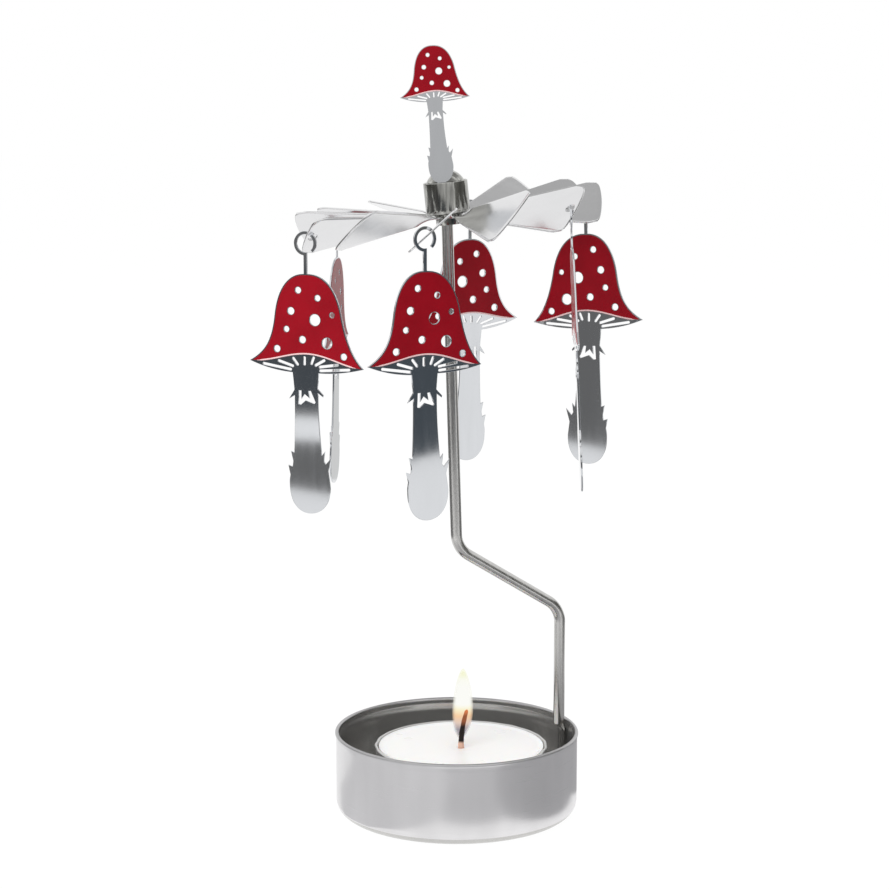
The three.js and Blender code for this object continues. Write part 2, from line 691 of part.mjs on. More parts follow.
// The wax has a shallow dish of melt round the wick, a bore for the wick, and room for its foot
function makeWax() {
  const radius = TEALIGHT_RADIUS - TEALIGHT_WALL - SEAT_GAP;
  const bore = WICK_RADIUS + SEAT_GAP;
  const footRoom = SUSTAINER_THICKNESS + 2 * SEAT_GAP;
  const neckRoom = footRoom + SUSTAINER_NECK_HEIGHT;
  const profile = [
    [SUSTAINER_RADIUS + SEAT_GAP, waxFloor],
    [radius - TEALIGHT_CORNER, waxFloor],
    [radius, waxFloor + TEALIGHT_CORNER],
    [radius, waxTop + WAX_CREEP],
    [radius - 2 * WAX_CREEP, waxTop],
    [radius * 0.55, waxTop - WAX_DISH * 0.6],
    [radius * 0.2, waxTop - WAX_DISH],
    [bore, waxTop - WAX_DISH],
    [bore, waxFloor + neckRoom],
    [SUSTAINER_NECK_RADIUS + SEAT_GAP, waxFloor + neckRoom],
    [SUSTAINER_NECK_RADIUS + SEAT_GAP, waxFloor + footRoom],
    [SUSTAINER_RADIUS + SEAT_GAP, waxFloor + footRoom],
    [SUSTAINER_RADIUS + SEAT_GAP, waxFloor],
  ];
  return turned(profile, 36);
}

const sustainerFloor = waxFloor;

function makeSustainer() {
  const bore = WICK_RADIUS + SEAT_GAP;
  const profile = [
    [bore, sustainerFloor],
    [SUSTAINER_RADIUS, sustainerFloor],
    [SUSTAINER_RADIUS, sustainerFloor + SUSTAINER_THICKNESS],
    [SUSTAINER_NECK_RADIUS, sustainerFloor + SUSTAINER_THICKNESS],
    [SUSTAINER_NECK_RADIUS, sustainerFloor + SUSTAINER_NECK_HEIGHT],
    [bore, sustainerFloor + SUSTAINER_NECK_HEIGHT],
    [bore, sustainerFloor],
  ];
  return turned(profile, 20);
}

// The wick stands straight in the wax, then curls over to the right above it
function makeWick() {
  const sides = 8;
  const steps = 6;
  const free = waxTop - WAX_DISH;
  const stations = [{ x: 0, z: sustainerFloor + SEAT_GAP, slope: 0, radius: WICK_RADIUS }];
  for (let i = 0; i <= steps; i++) {
    const share = i / steps;
    const slope = Math.atan((2 * WICK_REACH * share) / WICK_HEIGHT);
    const radius = WICK_RADIUS * (1 - WICK_TAPER * share);
    stations.push({ x: WICK_REACH * share * share, z: free + WICK_HEIGHT * share, slope, radius });
  }
  const rings = stations.map(({ x, z, slope, radius }) =>
    Array.from({ length: sides }, (_, i) => {
      const angle = (2 * Math.PI * i) / sides;
      const level = radius * Math.cos(angle);
      const inX = x + level * Math.cos(slope);
      return new THREE.Vector3(inX, radius * Math.sin(angle), z - level * Math.sin(slope));
    }),
  );
  return lofted(rings);
}

// Assembly

const stand = new THREE.Group();
object.add(stand);
addPiece(stand, 'cup', makeCup(), brushedSteel);
addPiece(stand, 'rod', makeRod(), wireSteel);

const rotor = new THREE.Group();
const tip = needleTip();
rotor.position.copy(tip);
rotor.rotation.set(radians(TILT_TO_FRONT), -radians(TILT_TO_LEFT), 0);
rotor.updateMatrixWorld(true);
object.add(rotor);
const wheel = addPiece(rotor, 'wheel', makeWheel(wheelBore), brightSheet);
wheel.position.z = -WHEEL_DROP;
addPiece(rotor, 'hub_sleeve', makeSleeve(), chrome);
addPiece(rotor, 'bearing_cap', makeBearingCap(), chrome);

const topToadstool = addPiece(rotor, 'top_toadstool', makeTopToadstool(), enamelledSheet);
topToadstool.position.set(TOP_ACROSS, -tabPlane(), sleeveTop + SEAT_GAP / 2);
topToadstool.rotation.set(Math.PI / 2, 0, 0);
topToadstool.rotateZ(-radians(TOP_LEAN));

// Each pendant hangs upright, turned from its blade by the toe-in, its ring through the hole
const hookCount = BLADE_COUNT / 2;
const upward = new THREE.Vector3(0, 0, 1);
for (let hook = 0; hook < hookCount; hook++) {
  const turn = (360 * hook) / hookCount;
  const blade = 2 * hook;
  const holeMiddle = { along: WHEEL_RADIUS - HOOK_HOLE_MARGIN, across: 0, blade, angle: bladeAngle(blade) };
  const hole = wheelPoint(holeMiddle, 0).addScaledVector(upward, -WHEEL_DROP);
  rotor.localToWorld(hole);
  const facing = radians(FIRST_HOOK_ANGLE + turn + 180 - HOOK_TOE_IN - EXTRA_TOE_IN[hook]);
  const side = new THREE.Vector3(Math.cos(facing), Math.sin(facing), 0);
  const basis = new THREE.Matrix4().makeBasis(side, upward, side.clone().cross(upward));
  const pendant = addPiece(object, `pendant_${hook + 1}`, makePendant(), enamelledSheet);
  pendant.quaternion.setFromRotationMatrix(basis);
  pendant.rotateX(radians(HANG_TILT[hook]));
  pendant.rotateZ(radians(HANG_SWING[hook]));
  const seat = radians(HOOK_SEAT_ANGLE);
  pendant.position.copy(hole);
  pendant.position.addScaledVector(side, -hookRadius() * Math.cos(seat));
  pendant.position.addScaledVector(upward, -hookRadius() * Math.sin(seat));
}

const tealight = new THREE.Group();
tealight.position.set(TEALIGHT_RIGHT, -TEALIGHT_FRONT, CUP_WALL + SEAT_GAP);
object.add(tealight);
addPiece(tealight, 'tealight_cup', makeTealightCup(), aluminium);
addPiece(tealight, 'wax', makeWax(), waxWhite);
addPiece(tealight, 'wick', makeWick(), charredCotton);
addPiece(tealight, 'wick_sustainer', makeSustainer(), aluminium);

export default object;
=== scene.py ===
import json
import math

import bmesh
import bpy
import numpy as np
from bpy.props import FloatProperty, FloatVectorProperty, IntProperty, PointerProperty
from mathutils import Matrix, Vector


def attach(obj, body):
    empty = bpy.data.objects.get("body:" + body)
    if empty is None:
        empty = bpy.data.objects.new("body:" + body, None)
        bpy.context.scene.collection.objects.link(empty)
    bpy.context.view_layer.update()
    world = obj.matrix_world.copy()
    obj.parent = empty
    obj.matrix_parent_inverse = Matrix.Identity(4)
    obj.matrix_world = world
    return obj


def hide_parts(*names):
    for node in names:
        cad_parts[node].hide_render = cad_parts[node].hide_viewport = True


bl_info = {
    "name": "Rotary candle holder",
    "version": (1, 0, 0),
    "blender": (4, 5, 0),
    "location": "3D View > Sidebar > Candle holder",
    "description": "Surfaces, finishes and studio of a rotary tealight holder with toadstools",
    "category": "Object",
}

MM = 0.001

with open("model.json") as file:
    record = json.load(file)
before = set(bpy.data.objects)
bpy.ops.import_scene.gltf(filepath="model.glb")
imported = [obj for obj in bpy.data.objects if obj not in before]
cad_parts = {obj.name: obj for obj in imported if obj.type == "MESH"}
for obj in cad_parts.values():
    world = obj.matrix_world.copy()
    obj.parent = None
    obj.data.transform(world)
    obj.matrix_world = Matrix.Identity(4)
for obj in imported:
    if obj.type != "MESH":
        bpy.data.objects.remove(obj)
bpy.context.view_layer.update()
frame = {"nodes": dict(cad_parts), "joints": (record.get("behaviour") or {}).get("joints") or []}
JOINTS = {joint["name"]: joint for joint in frame["joints"]}
UPRIGHT = Vector((0, 0, 1))


# Settings

def length(name, description, millimetres):
    """A length property, given in millimetres and kept in metres."""
    return FloatProperty(name=name, description=description, default=millimetres * MM,
                         precision=5, unit="LENGTH", subtype="DISTANCE")


def angle(name, description, degrees):
    """An angle property, given in degrees and kept in radians."""
    return FloatProperty(name=name, description=description, default=math.radians(degrees),
                         unit="ROTATION", subtype="ANGLE")


def share(name, description, value):
    """A plain number, such as a share or a strength."""
    return FloatProperty(name=name, description=description, default=value, precision=3)


def colour(name, description, red, green, blue):
    """A colour property, given as screen values up to 255 and kept as linear light."""
    linear = [(value / 255 + 0.055) ** 2.4 / 1.055 ** 2.4 if value > 10 else value / 255 / 12.92
              for value in (red, green, blue)]
    return FloatVectorProperty(name=name, description=description, default=linear,
                               size=3, min=0, max=1, subtype="COLOR")


class CupSizes(bpy.types.PropertyGroup):
    radius: length("Radius", "Outside of the cup's wall", 27)
    height: length("Height", "Table to lip", 18.5)
    wall: length("Wall", "Thickness of the drawn sheet", 0.6)
    corner: length("Corner", "Radius of the pressed corner at the bottom", 3)
    lip: length("Lip", "Radius of the rolled lip", 0.42)
    finish: colour("Colour", "Brushed steel of the cup", 226, 225, 226)
    inside: colour("Inside", "Drawn steel inside the cup", 200, 199, 197)


class RodSizes(bpy.types.PropertyGroup):
    diameter: length("Diameter", "Wire of the rod", 2.5)
    azimuth: angle("Azimuth", "Side of the cup on which the rod stands", 20)
    bend: length("Bend", "Radius of both bends, at the wire's middle", 6)
    lower_bend: length("Lower bend", "Height of the lower bend's corner", 44.4)
    upper_bend: length("Upper bend", "Height of the upper bend's corner", 59.9)
    lean: angle("Lean", "How far the upper length leans back over the cup", 1.8)
    needle: length("Needle", "Length of the ground point", 5)
    needle_tip: length("Needle tip", "Radius at the point's end", 0.15)
    foot_thickness: length("Foot thickness", "Flattened foot, through the wall", 1.2)
    foot_width: length("Foot width", "Flattened foot, along the wall", 3.1)
    foot_length: length("Foot length", "Length of the flattened foot", 11)
    shoulder: length("Shoulder", "Length over which the wire flattens", 1.4)
    foot_clearance: length("Foot clearance", "Foot above the table", 5)
    seat_gap: length("Seat gap", "Gap between the foot and the cup's wall", 0.3)
    finish: colour("Colour", "Drawn steel wire", 204, 203, 201)


class WheelSizes(bpy.types.PropertyGroup):
    radius: length("Radius", "Middle of the wheel to the blades' ends", 33.2)
    drop: length("Drop", "Wheel's sheet below the needle's point", 5)
    blades: IntProperty(name="Blades", description="Blades round the wheel", default=12, min=3)
    blade_width: length("Blade width", "Blade across its outer corners", 14.6)
    twist: angle("Twist", "Pitch of each blade", 34.5)
    root: length("Root", "Radius at which the blades leave the middle", 5.3)
    twist_length: length("Twist length", "Stretch of a blade in which it twists", 4.5)
    corner: length("Corner", "Rounding of a blade's outer corners", 2.4)
    slit: length("Slit", "Gap between two blades at their roots", 0.45)
    sheet: length("Sheet", "Thickness of the stamped sheet", 0.4)
    tilt_left: angle("Tilt to the left", "How far the wheel hangs down on the left", 5.9)
    tilt_front: angle("Tilt to the front", "How far the wheel hangs down in front", 0.9)
    first_hook: angle("First hook", "Azimuth of the front hook ring", -98.5)
    hole: length("Hole", "Diameter of a hook's hole", 2.1)
    hole_margin: length("Hole margin", "Hole's middle to the blade's end", 1.6)
    finish: colour("Colour", "Bright rolled sheet", 226, 226, 227)


class HubSizes(bpy.types.PropertyGroup):
    radius: length("Radius", "Outside of the sleeve", 4.8)
    wall: length("Wall", "Thickness of the sleeve and of its spigot", 0.4)
    height: length("Height", "Sleeve above the wheel", 7)
    neck: length("Neck", "Sleeve's radius where it meets the wheel", 3.6)
    spigot: length("Spigot", "Spigot below the wheel", 1.6)
    dome: length("Dome", "Height of the cap's dome over the sleeve", 2.6)
    cap_depth: length("Cap depth", "Cap's floor below the sleeve's top", 3.2)
    gap: length("Gap", "Gap between seated pieces", 0.3)
    finish: colour("Colour", "Polished plating", 204, 204, 199)


class ToadstoolSizes(bpy.types.PropertyGroup):
    hat_width: length("Hat width", "Hat from tip to tip", 26.5)
    hat_height: length("Hat height", "Hat's top to its tips", 19.5)
    height: length("Height", "Hat's top to the bulb's end", 51.6)
    stem: length("Stem", "Stem's width below the skirt", 5.8)
    bulb: length("Bulb", "Bulb's width", 9.5)
    brim_depth: length("Brim depth", "Gills below the hat", 3.8)
    gill: length("Gill", "Width of a slot between gills", 0.52)
    skirt_cut: length("Skirt cut", "Height of the cut below the skirt", 3)
    sheet: length("Sheet", "Thickness of the stamped sheet", 0.4)
    edge: length("Edge", "Rounding of the stamped edges", 0.06)
    ring: length("Ring", "Outer diameter of the hook's ring", 5.2)
    wire: length("Ring width", "Width of the hook's ring", 0.7)
    opening: angle("Ring opening", "Where the ring ends, from its right side", -48)
    neck: length("Neck", "Ring to the hat's top", 3.85)
    neck_width: length("Neck width", "Width of the neck", 0.8)
    enamel: length("Enamel", "Enamel above the sheet on each face", 0.06)
    enamel_border: length("Enamel border", "Bare sheet left round the enamel", 0.28)
    hole_rim: length("Hole rim", "Bare sheet left round a hole", 0.14)
    bead: length("Bead", "Half width of the pale line along the brim", 0.24)
    red: colour("Red", "Enamel of the hats", 147, 2, 23)
    pale: colour("Pale", "Line of enamel along the brim", 236, 200, 200)
    finish: colour("Colour", "Polished steel of the toadstools", 214, 216, 219)


class TopSizes(bpy.types.PropertyGroup):
    scale: share("Scale", "Size against a hanging toadstool", 0.56)
    lean: angle("Lean", "How far it leans to the left on the hub", 2.2)
    across: length("Across", "Its middle from the hub's middle, to the right", -0.7)
    tab: length("Tab", "Width of the tab in the hub", 2)


class TealightSizes(bpy.types.PropertyGroup):
    radius: length("Radius", "Outside of the aluminium cup", 19)
    height: length("Height", "Height of the aluminium cup", 14.2)
    wall: length("Wall", "Thickness of the aluminium", 0.3)
    rim: length("Rim", "Radius of the rolled rim", 0.3)
    corner: length("Corner", "Chamfer at the bottom", 1.5)
    right: length("Right", "Tealight's middle to the right of the cup's", 1)
    front: length("Front", "Tealight's middle in front of the cup's", 0.6)
    wax_depth: length("Wax depth", "Depth of the wax", 13.25)
    dish: length("Dish", "Depth of the melt dish", 0.15)
    creep: length("Creep", "How far the wax climbs the wall", 0.3)
    wick: length("Wick", "Radius of the wick", 0.7)
    wick_height: length("Wick height", "Wick above the wax", 8.6)
    wick_reach: length("Wick reach", "How far the wick curls to the right", 1.35)
    foil: colour("Foil", "Aluminium of the tealight's cup", 218, 218, 217)
    wax: colour("Wax", "Candle wax", 250, 249, 247)
    char: colour("Char", "Burnt cotton", 28, 20, 18)
    soaked: colour("Soaked cotton", "Wick where the melt soaks it", 226, 184, 164)
    ember: colour("Ember", "Glowing upper part of the wick", 150, 84, 48)


class FlameSizes(bpy.types.PropertyGroup):
    low: length("Low end", "Height of the flame's lower end", 15.9)
    high: length("High end", "Height of the flame's tip", 32.2)
    width: length("Width", "Flame at its widest", 4.6)
    depth: length("Depth", "Flame at its thickest from front to back", 3.0)
    across: length("Across", "Flame's middle to the right of the cup's", 1.45)
    behind: length("Behind", "Flame's middle behind the cup's", 1.2)
    sway: length("Sway", "How far the flame's foot bends to the left", 0.55)
    tip: colour("Tip", "Flame near its tip", 242, 244, 204)
    skin: colour("Skin", "Outermost part of the flame", 243, 243, 229)
    body: colour("Body", "Middle of the flame", 255, 255, 254)
    cream: colour("Cream", "Flame above the wick", 253, 244, 200)
    glow: colour("Glow", "Flame round the wick's tip", 247, 206, 164)
    halo: colour("Halo", "Flame round the wick's middle", 226, 202, 188)
    root: colour("Root", "Flame at its foot", 152, 146, 156)


class StudioSettings(bpy.types.PropertyGroup):
    distance: length("Distance", "Camera in front of the cup's middle", 502.66)
    height: length("Height", "Camera above the table", 164.38)
    across: length("Across", "Camera to the right of the cup's middle", -2.71)
    pitch: angle("Pitch", "How far the camera looks down", 9.18)
    lens: share("Lens", "Focal length in millimetres for a 36 mm sensor", 93.77)
    daylight: share("Daylight", "Strength of the even light from all round", 0.5)
    key: share("Key", "Power of the lamp at the left, in watts", 0.42)
    ceiling: share("Ceiling", "Power of the lamp overhead, in watts", 6.0)


# Surfaces

# A face lies flat where its normal's Z is larger, and a filled sheet's area may be off by a share
FLAT, AREA_ERROR = 0.99, 0.12


def arc(centre, radius, start, end, steps):
    """Points on a circle: the centre plus the radius times the cosine and sine of an angle, which
    is given in degrees."""
    turn = np.radians(np.linspace(start, end, steps + 1))
    return np.array(centre) + radius * np.stack([np.cos(turn), np.sin(turn)], axis=1)


def bezier(controls, steps=16):
    """Points on a Bezier curve: its control points weighted by the Bernstein polynomials."""
    t = np.linspace(0, 1, steps + 1)[:, None]
    degree = len(controls) - 1
    return sum(math.comb(degree, k) * t ** k * (1 - t) ** (degree - k) * np.array(point)
               for k, point in enumerate(controls))


def path_through(*pieces):
    """Joins stretches of a path and drops the points that two stretches share."""
    points = np.vstack(pieces)
    apart = np.linalg.norm(np.diff(points, axis=0), axis=1) > 1e-7
    return points[np.concatenate([[True], apart])]


def unit(ways):
    """Vectors made one long."""
    return ways / np.linalg.norm(ways, axis=1)[:, None]


def smooth(value, low, high):
    """Rises from 0 at low to 1 at high with level ends: 3 t squared minus 2 t cubed."""
    t = np.clip((value - low) / (high - low), 0, 1)
    return t * t * (3 - 2 * t)


def grid_faces(rows, columns, wrap=True):
    """Four-sided faces between neighbouring points of a grid; with wrap its last column meets
    the first."""
    row, column = np.meshgrid(np.arange(rows - 1), np.arange(columns if wrap else columns - 1),
                              indexing="ij")
    after = (column + 1) % columns
    corners = [row * columns + column, row * columns + after,
               (row + 1) * columns + after, (row + 1) * columns + column]
    return np.stack(corners, axis=-1).reshape(-1, 4)


def values_of(items, field, width=1):
    """One field of all points or faces of a mesh, as rows of an array."""
    values = np.zeros(len(items) * width)
    items.foreach_get(field, values)
    return values.reshape(-1, width)


def tidy_mesh(mesh, weld=1e-6):
    """Merges doubled points, drops the faces that this closes up, turns all faces outwards and
    shades them smooth."""
    shape = bmesh.new()
    shape.from_mesh(mesh)
    bmesh.ops.remove_doubles(shape, verts=shape.verts, dist=weld)
    bmesh.ops.dissolve_degenerate(shape, edges=shape.edges, dist=weld / 10)
    bmesh.ops.recalc_face_normals(shape, faces=shape.faces)
    shape.to_mesh(mesh)
    shape.free()
    mesh.shade_smooth()


def in_scene(name, data):
    """A new object for a mesh, a curve, a lamp or a camera."""
    made = bpy.data.objects.new(name, data)
    bpy.context.scene.collection.objects.link(made)
    return made


def new_piece(name, points, faces, place=None, sharp=35):
    """An object from an array of points and one of faces, smooth except at edges sharper than an
    angle."""
    mesh = bpy.data.meshes.new(name)
    mesh.from_pydata(np.asarray(points).reshape(-1, 3).tolist(), [], np.asarray(faces).tolist())
    tidy_mesh(mesh)
    if place is not None:
        mesh.transform(place)
    mesh.set_sharp_from_angle(angle=math.radians(sharp))
    return in_scene(name, mesh)


def turned(name, profile, segments, place=None, sharp=35, ripple=None):
    """A profile of radius r and height h turned about Z by angle a: (r cos a, r sin a, h).
    A ripple, where there is one, is a function of r, h and a that is added to the radius."""
    turn = 2 * np.pi * np.arange(segments) / segments
    radius, height = profile[:, :1] + 0 * turn, profile[:, 1:] + 0 * turn
    if ripple is not None:
        radius = radius + ripple(radius, height, turn)
    points = np.stack([radius * np.cos(turn), radius * np.sin(turn), height], axis=-1)
    return new_piece(name, points, grid_faces(len(profile), segments), place, sharp)


def swept(name, centres, first, second, sides, place=None, sharp=35):
    """A closed section carried along a path: the centre plus cos a times one half width
    plus sin a times the other, both given as vectors along the path."""
    turn = (2 * np.pi * np.arange(sides) / sides)[None, :, None]
    points = centres[:, None] + np.cos(turn) * first[:, None] + np.sin(turn) * second[:, None]
    return new_piece(name, points, grid_faces(len(centres), sides), place, sharp)


def loop_area(loop):
    """Area inside a closed outline: half the sum of the crossed products of its points."""
    after = np.roll(loop, -1, axis=0)
    return abs((loop[:, 0] * after[:, 1] - after[:, 0] * loop[:, 1]).sum()) / 2


def flat_piece(name, outline, holes, thickness, edge, place):
    """A flat sheet inside an outline and outside its holes, as thick on both sides of its plane,
    with its edges rounded by a quarter circle that is carried along every outline. It is drawn as
    a filled curve in millimetres, and its filled area is compared with the outlines' own."""
    curve = bpy.data.curves.new(name, "CURVE")
    curve.dimensions = "2D"
    curve.fill_mode = "BOTH"
    for loop in [outline, *holes]:
        spline = curve.splines.new("POLY")
        spline.points.add(len(loop) - 1)
        spline.points.foreach_set("co", np.pad(loop / MM, ((0, 0), (0, 2))).ravel())
        spline.use_cyclic_u = True
    curve.extrude = (thickness / 2 - edge) / MM
    curve.bevel_depth = edge / MM
    curve.bevel_resolution = 1
    curve.offset = -edge / MM
    drawn = in_scene(name + "_drawn", curve)
    bpy.context.view_layer.update()
    mesh = bpy.data.meshes.new_from_object(
        drawn.evaluated_get(bpy.context.evaluated_depsgraph_get()))
    bpy.data.objects.remove(drawn)
    bpy.data.curves.remove(curve)
    mesh.name = name
    mesh.transform(Matrix.Scale(MM, 4))
    tidy_mesh(mesh)
    level = values_of(mesh.polygons, "normal", 3)[:, 2]
    mesh.polygons.foreach_set("use_smooth", np.abs(level) < FLAT)
    filled = values_of(mesh.polygons, "area")[level > FLAT].sum()
    if abs(filled / (loop_area(outline) - sum(map(loop_area, holes))) - 1) > AREA_ERROR:
        raise RuntimeError(name + ": the sheet's outline did not fill")
    mesh.transform(place)
    return in_scene(name, mesh)


def seat(piece, body, slot, material, *nodes):
    """Gives a piece its finish, lets it ride on its body and puts it in the place of its nodes."""
    piece.data.materials.clear()
    piece.data.materials.append(material)
    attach(piece, body)
    if nodes:
        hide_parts(*nodes)


# Finishes

class Nodes:
    """A node tree that is built one node at a time."""

    def __init__(self, tree, kind):
        self.tree = tree
        tree.nodes.clear()
        self.end = tree.nodes.new("ShaderNodeOutput" + kind).inputs["Surface"]

    def add(self, kind, inputs, output=0, **settings):
        """Adds a node and gives back one of its outputs. An input is a plain value, or another
        node's output, which is then linked to it."""
        made = self.tree.nodes.new("ShaderNode" + kind)
        for name, value in settings.items():
            setattr(made, name, value)
        for socket, value in inputs.items():
            if isinstance(value, bpy.types.NodeSocket):
                self.tree.links.new(value, made.inputs[socket])
            else:
                made.inputs[socket].default_value = value
        return made.outputs[output]

    def show(self, shader):
        """Makes a shader the one that is seen."""
        self.tree.links.new(shader, self.end)


class Finish(Nodes):
    """A material, with short calls for the textures that it is made of."""

    def __init__(self, name):
        self.material = bpy.data.materials.new(name)
        self.material.use_nodes = True
        super().__init__(self.material.node_tree, "Material")

    def place(self, stretch=(1, 1, 1)):
        """Object coordinates, stretched."""
        spot = self.add("TexCoord", {}, "Object")
        return self.add("Mapping", {"Vector": spot, "Scale": stretch})

    def noise(self, scale, detail, roughness=0.5, stretch=(1, 1, 1)):
        """A cloudy texture in the object's own space, mostly between 0.3 and 0.7."""
        return self.add("TexNoise", {"Vector": self.place(stretch), "Scale": scale,
                                     "Detail": detail, "Roughness": roughness}, "Fac")

    def ramp(self, source, *stops):
        """Colours at stops between 0 and 1; a single number is a grey."""
        made = self.add("ValToRGB", {"Fac": source}, "Color")
        elements = made.node.color_ramp.elements
        elements[0].position, elements[1].position = stops[0][0], stops[-1][0]
        for position, _ in stops[1:-1]:
            elements.new(position)
        for element, (_, value) in zip(elements, stops):
            element.color = (*np.broadcast_to(value, 3), 1)
        return made

    def shades(self, source, base, *stops):
        """Shares of one colour at stops between 0 and 1."""
        return self.ramp(source, *((stop, np.minimum(1, np.array(base) * part))
                                   for stop, part in stops))

    def between(self, source, start, end, low=0.0, high=1.0):
        """A number that goes from low to high while the source goes from start to end."""
        return self.add("MapRange", {"Value": source, "From Min": start, "From Max": end,
                                     "To Min": low, "To Max": high})

    def height_between(self, low, high):
        """A number that rises from 0 at one height of the object to 1 at another."""
        parts = self.add("SeparateXYZ", {"Vector": self.place()}, "Z")
        return self.between(parts, low, high)

    def bump(self, source, strength, depth):
        """A surface direction that makes a texture look raised, by a depth in metres."""
        return self.add("Bump", {"Height": source, "Strength": strength, "Distance": depth})


NOISE_LOW, NOISE_HIGH = 0.3, 0.7
METAL = {"Metallic": 1.0}
# The noise of each finish as scale, detail, roughness and stretch, the shades of its colour at the
# noise's low and high end, its roughness or the range of it, and its bumps' strength and depth.
# Die lines along the wire:
WIRE = ((900, 3, 0.6, (1, 1, 0.03)), (0.86, 1.03), (0.18, 0.26), (0.15, 0.00003))
# Duller drawn steel, which scatters some of the light that falls in:
CUP_INSIDE = ((90, 2, 0.5, (1, 1, 0.3)), (0.95, 1.05), 0.24, None)
# Bright sheet with a faint rolling grain:
ROLLED = ((260, 3, 0.5, (0.08, 1, 1)), (0.975, 1.015), (0.13, 0.17), (0.2, 0.0003))
# Streaks that run up and down, dark, middle and bright: painted reflections in the plating's
# colour, from the same noise that raises its bumps:
PLATING = ((620, 3, 0.65, (1, 1, 0.1)), None, (0.08, 0.16), (0.4, 0.0002))
PLATING_PAINTED_REFLECTIONS = ((0.36, 0.38), (0.5, 0.6), (0.64, 0.95))
# Polished sheet with a faint grain up and down:
POLISHED = ((500, 2, 0.5, (1, 1, 0.12)), (0.97, 1.01), (0.045, 0.06), None)
# Stove enamel, slightly uneven in tone, the pale one less so:
RED_ENAMEL = ((160, 3), (0.86, 1.05), 0.3, (0.1, 0.00003))
PALE_ENAMEL = ((160, 3), (0.95, 1.05), 0.3, (0.1, 0.00003))
# Thin drawn aluminium, a little creased:
FOIL = ((300, 4, 0.6), (0.93, 1.02), (0.35, 0.5), (0.25, 0.0001))
# Wax, a little cloudy in tone and gloss:
WAX = ((140, 3), (0.97, 1.0), (0.25, 0.5), (0.06, 0.00005))
# Bumps that have a noise of their own: soft waves, the enamel's skin and the wax's grain
SHEET_WAVES, ENAMEL_SKIN, WAX_GRAIN = (35, 0), (900, 2), (700, 3)
ENAMEL_GLOSS = {"Metallic": 0.0, "Specular IOR Level": 0.15, "Coat Weight": 0.05,
                "Coat Roughness": 0.12}
# How wax takes light: some passes into it, and a faint painted glow of its own stands in for the
# flame's light on the wax
WAX_LIGHT_AND_PAINTED_GLOW = {"Metallic": 0.0, "IOR": 1.44, "Subsurface Weight": 0.3, "Subsurface Scale": 0.002,
             "Subsurface Radius": (1.0, 0.7, 0.45), "Emission Strength": 0.11,
             "Emission Color": (1.0, 0.99, 0.97, 1)}


def grained(name, base, row, surface=METAL, painted_streak_stops=None, own_noise=None):
    """A finish that follows a noise: its colour, its roughness where that is a range, and its
    bumps, unless these have a noise of their own."""
    noise, shades, roughness, relief = row
    finish = Finish(name)
    grain = finish.noise(*noise)
    # Stops given here paint reflection streaks into the colour
    stops = painted_streak_stops or zip((NOISE_LOW, NOISE_HIGH), shades)
    inputs = {"Base Color": finish.shades(grain, base, *stops), "Roughness": roughness, **surface}
    if isinstance(roughness, tuple):
        inputs["Roughness"] = finish.between(grain, NOISE_LOW, NOISE_HIGH, *roughness)
    if relief:
        inputs["Normal"] = finish.bump(finish.noise(*own_noise) if own_noise else grain, *relief)
    finish.show(finish.add("BsdfPrincipled", inputs))
    return finish.material


def brushed_cup_steel(base, low, high):
    """Steel brushed round the cup: fine level lines, soft upright clouds from handling, and painted
    shade that darkens the rolled lip between two heights."""
    finish = Finish("brushed_steel_round")
    clouds = finish.noise(110, 2, stretch=(1, 1, 0.25))
    tone = finish.shades(clouds, base, (NOISE_LOW, 0.93), (NOISE_HIGH, 1.05))
    # Painted shade: the colour falls to about half up the lip, standing in for the shade along the
    # rolled edge
    painted_lip_shade = finish.ramp(finish.height_between(low, high), (0.0, 1), (0.5, 0.78), (1.0, 0.52))
    lines = finish.noise(40, 4, 0.7, (1, 1, 160))
    finish.show(finish.add("BsdfPrincipled", {
        "Base Color": finish.add("MixRGB", {"Fac": 1, "Color1": tone, "Color2": painted_lip_shade},
                                 blend_type="MULTIPLY"),
        "Roughness": finish.between(lines, NOISE_LOW, NOISE_HIGH, 0.27, 0.33),
        "Normal": finish.bump(lines, 0.1, 0.00002), **METAL}))
    return finish.material


def burnt_cotton(sizes, low, high):
    """Cotton that the melt soaks at its foot, charred above, glowing towards its tip, with a
    braid's bumps."""
    finish = Finish("burnt_cotton")
    rise = finish.height_between(low, high)
    ember = np.array(sizes.ember)
    finish.show(finish.add("BsdfPrincipled", {
        "Base Color": finish.ramp(rise, (0.0, sizes.soaked), (0.1, sizes.soaked),
                                  (0.16, sizes.char), (1.0, sizes.char)),
        "Emission Color": finish.ramp(rise, (0.0, 0), (0.55, 0), (0.7, ember), (0.83, ember),
                                      (0.95, np.minimum(1, ember * 2.4))),
        "Emission Strength": 0.9, "Roughness": 0.9,
        "Normal": finish.bump(finish.noise(1800, 3), 0.8, 0.0002)}))
    return finish.material


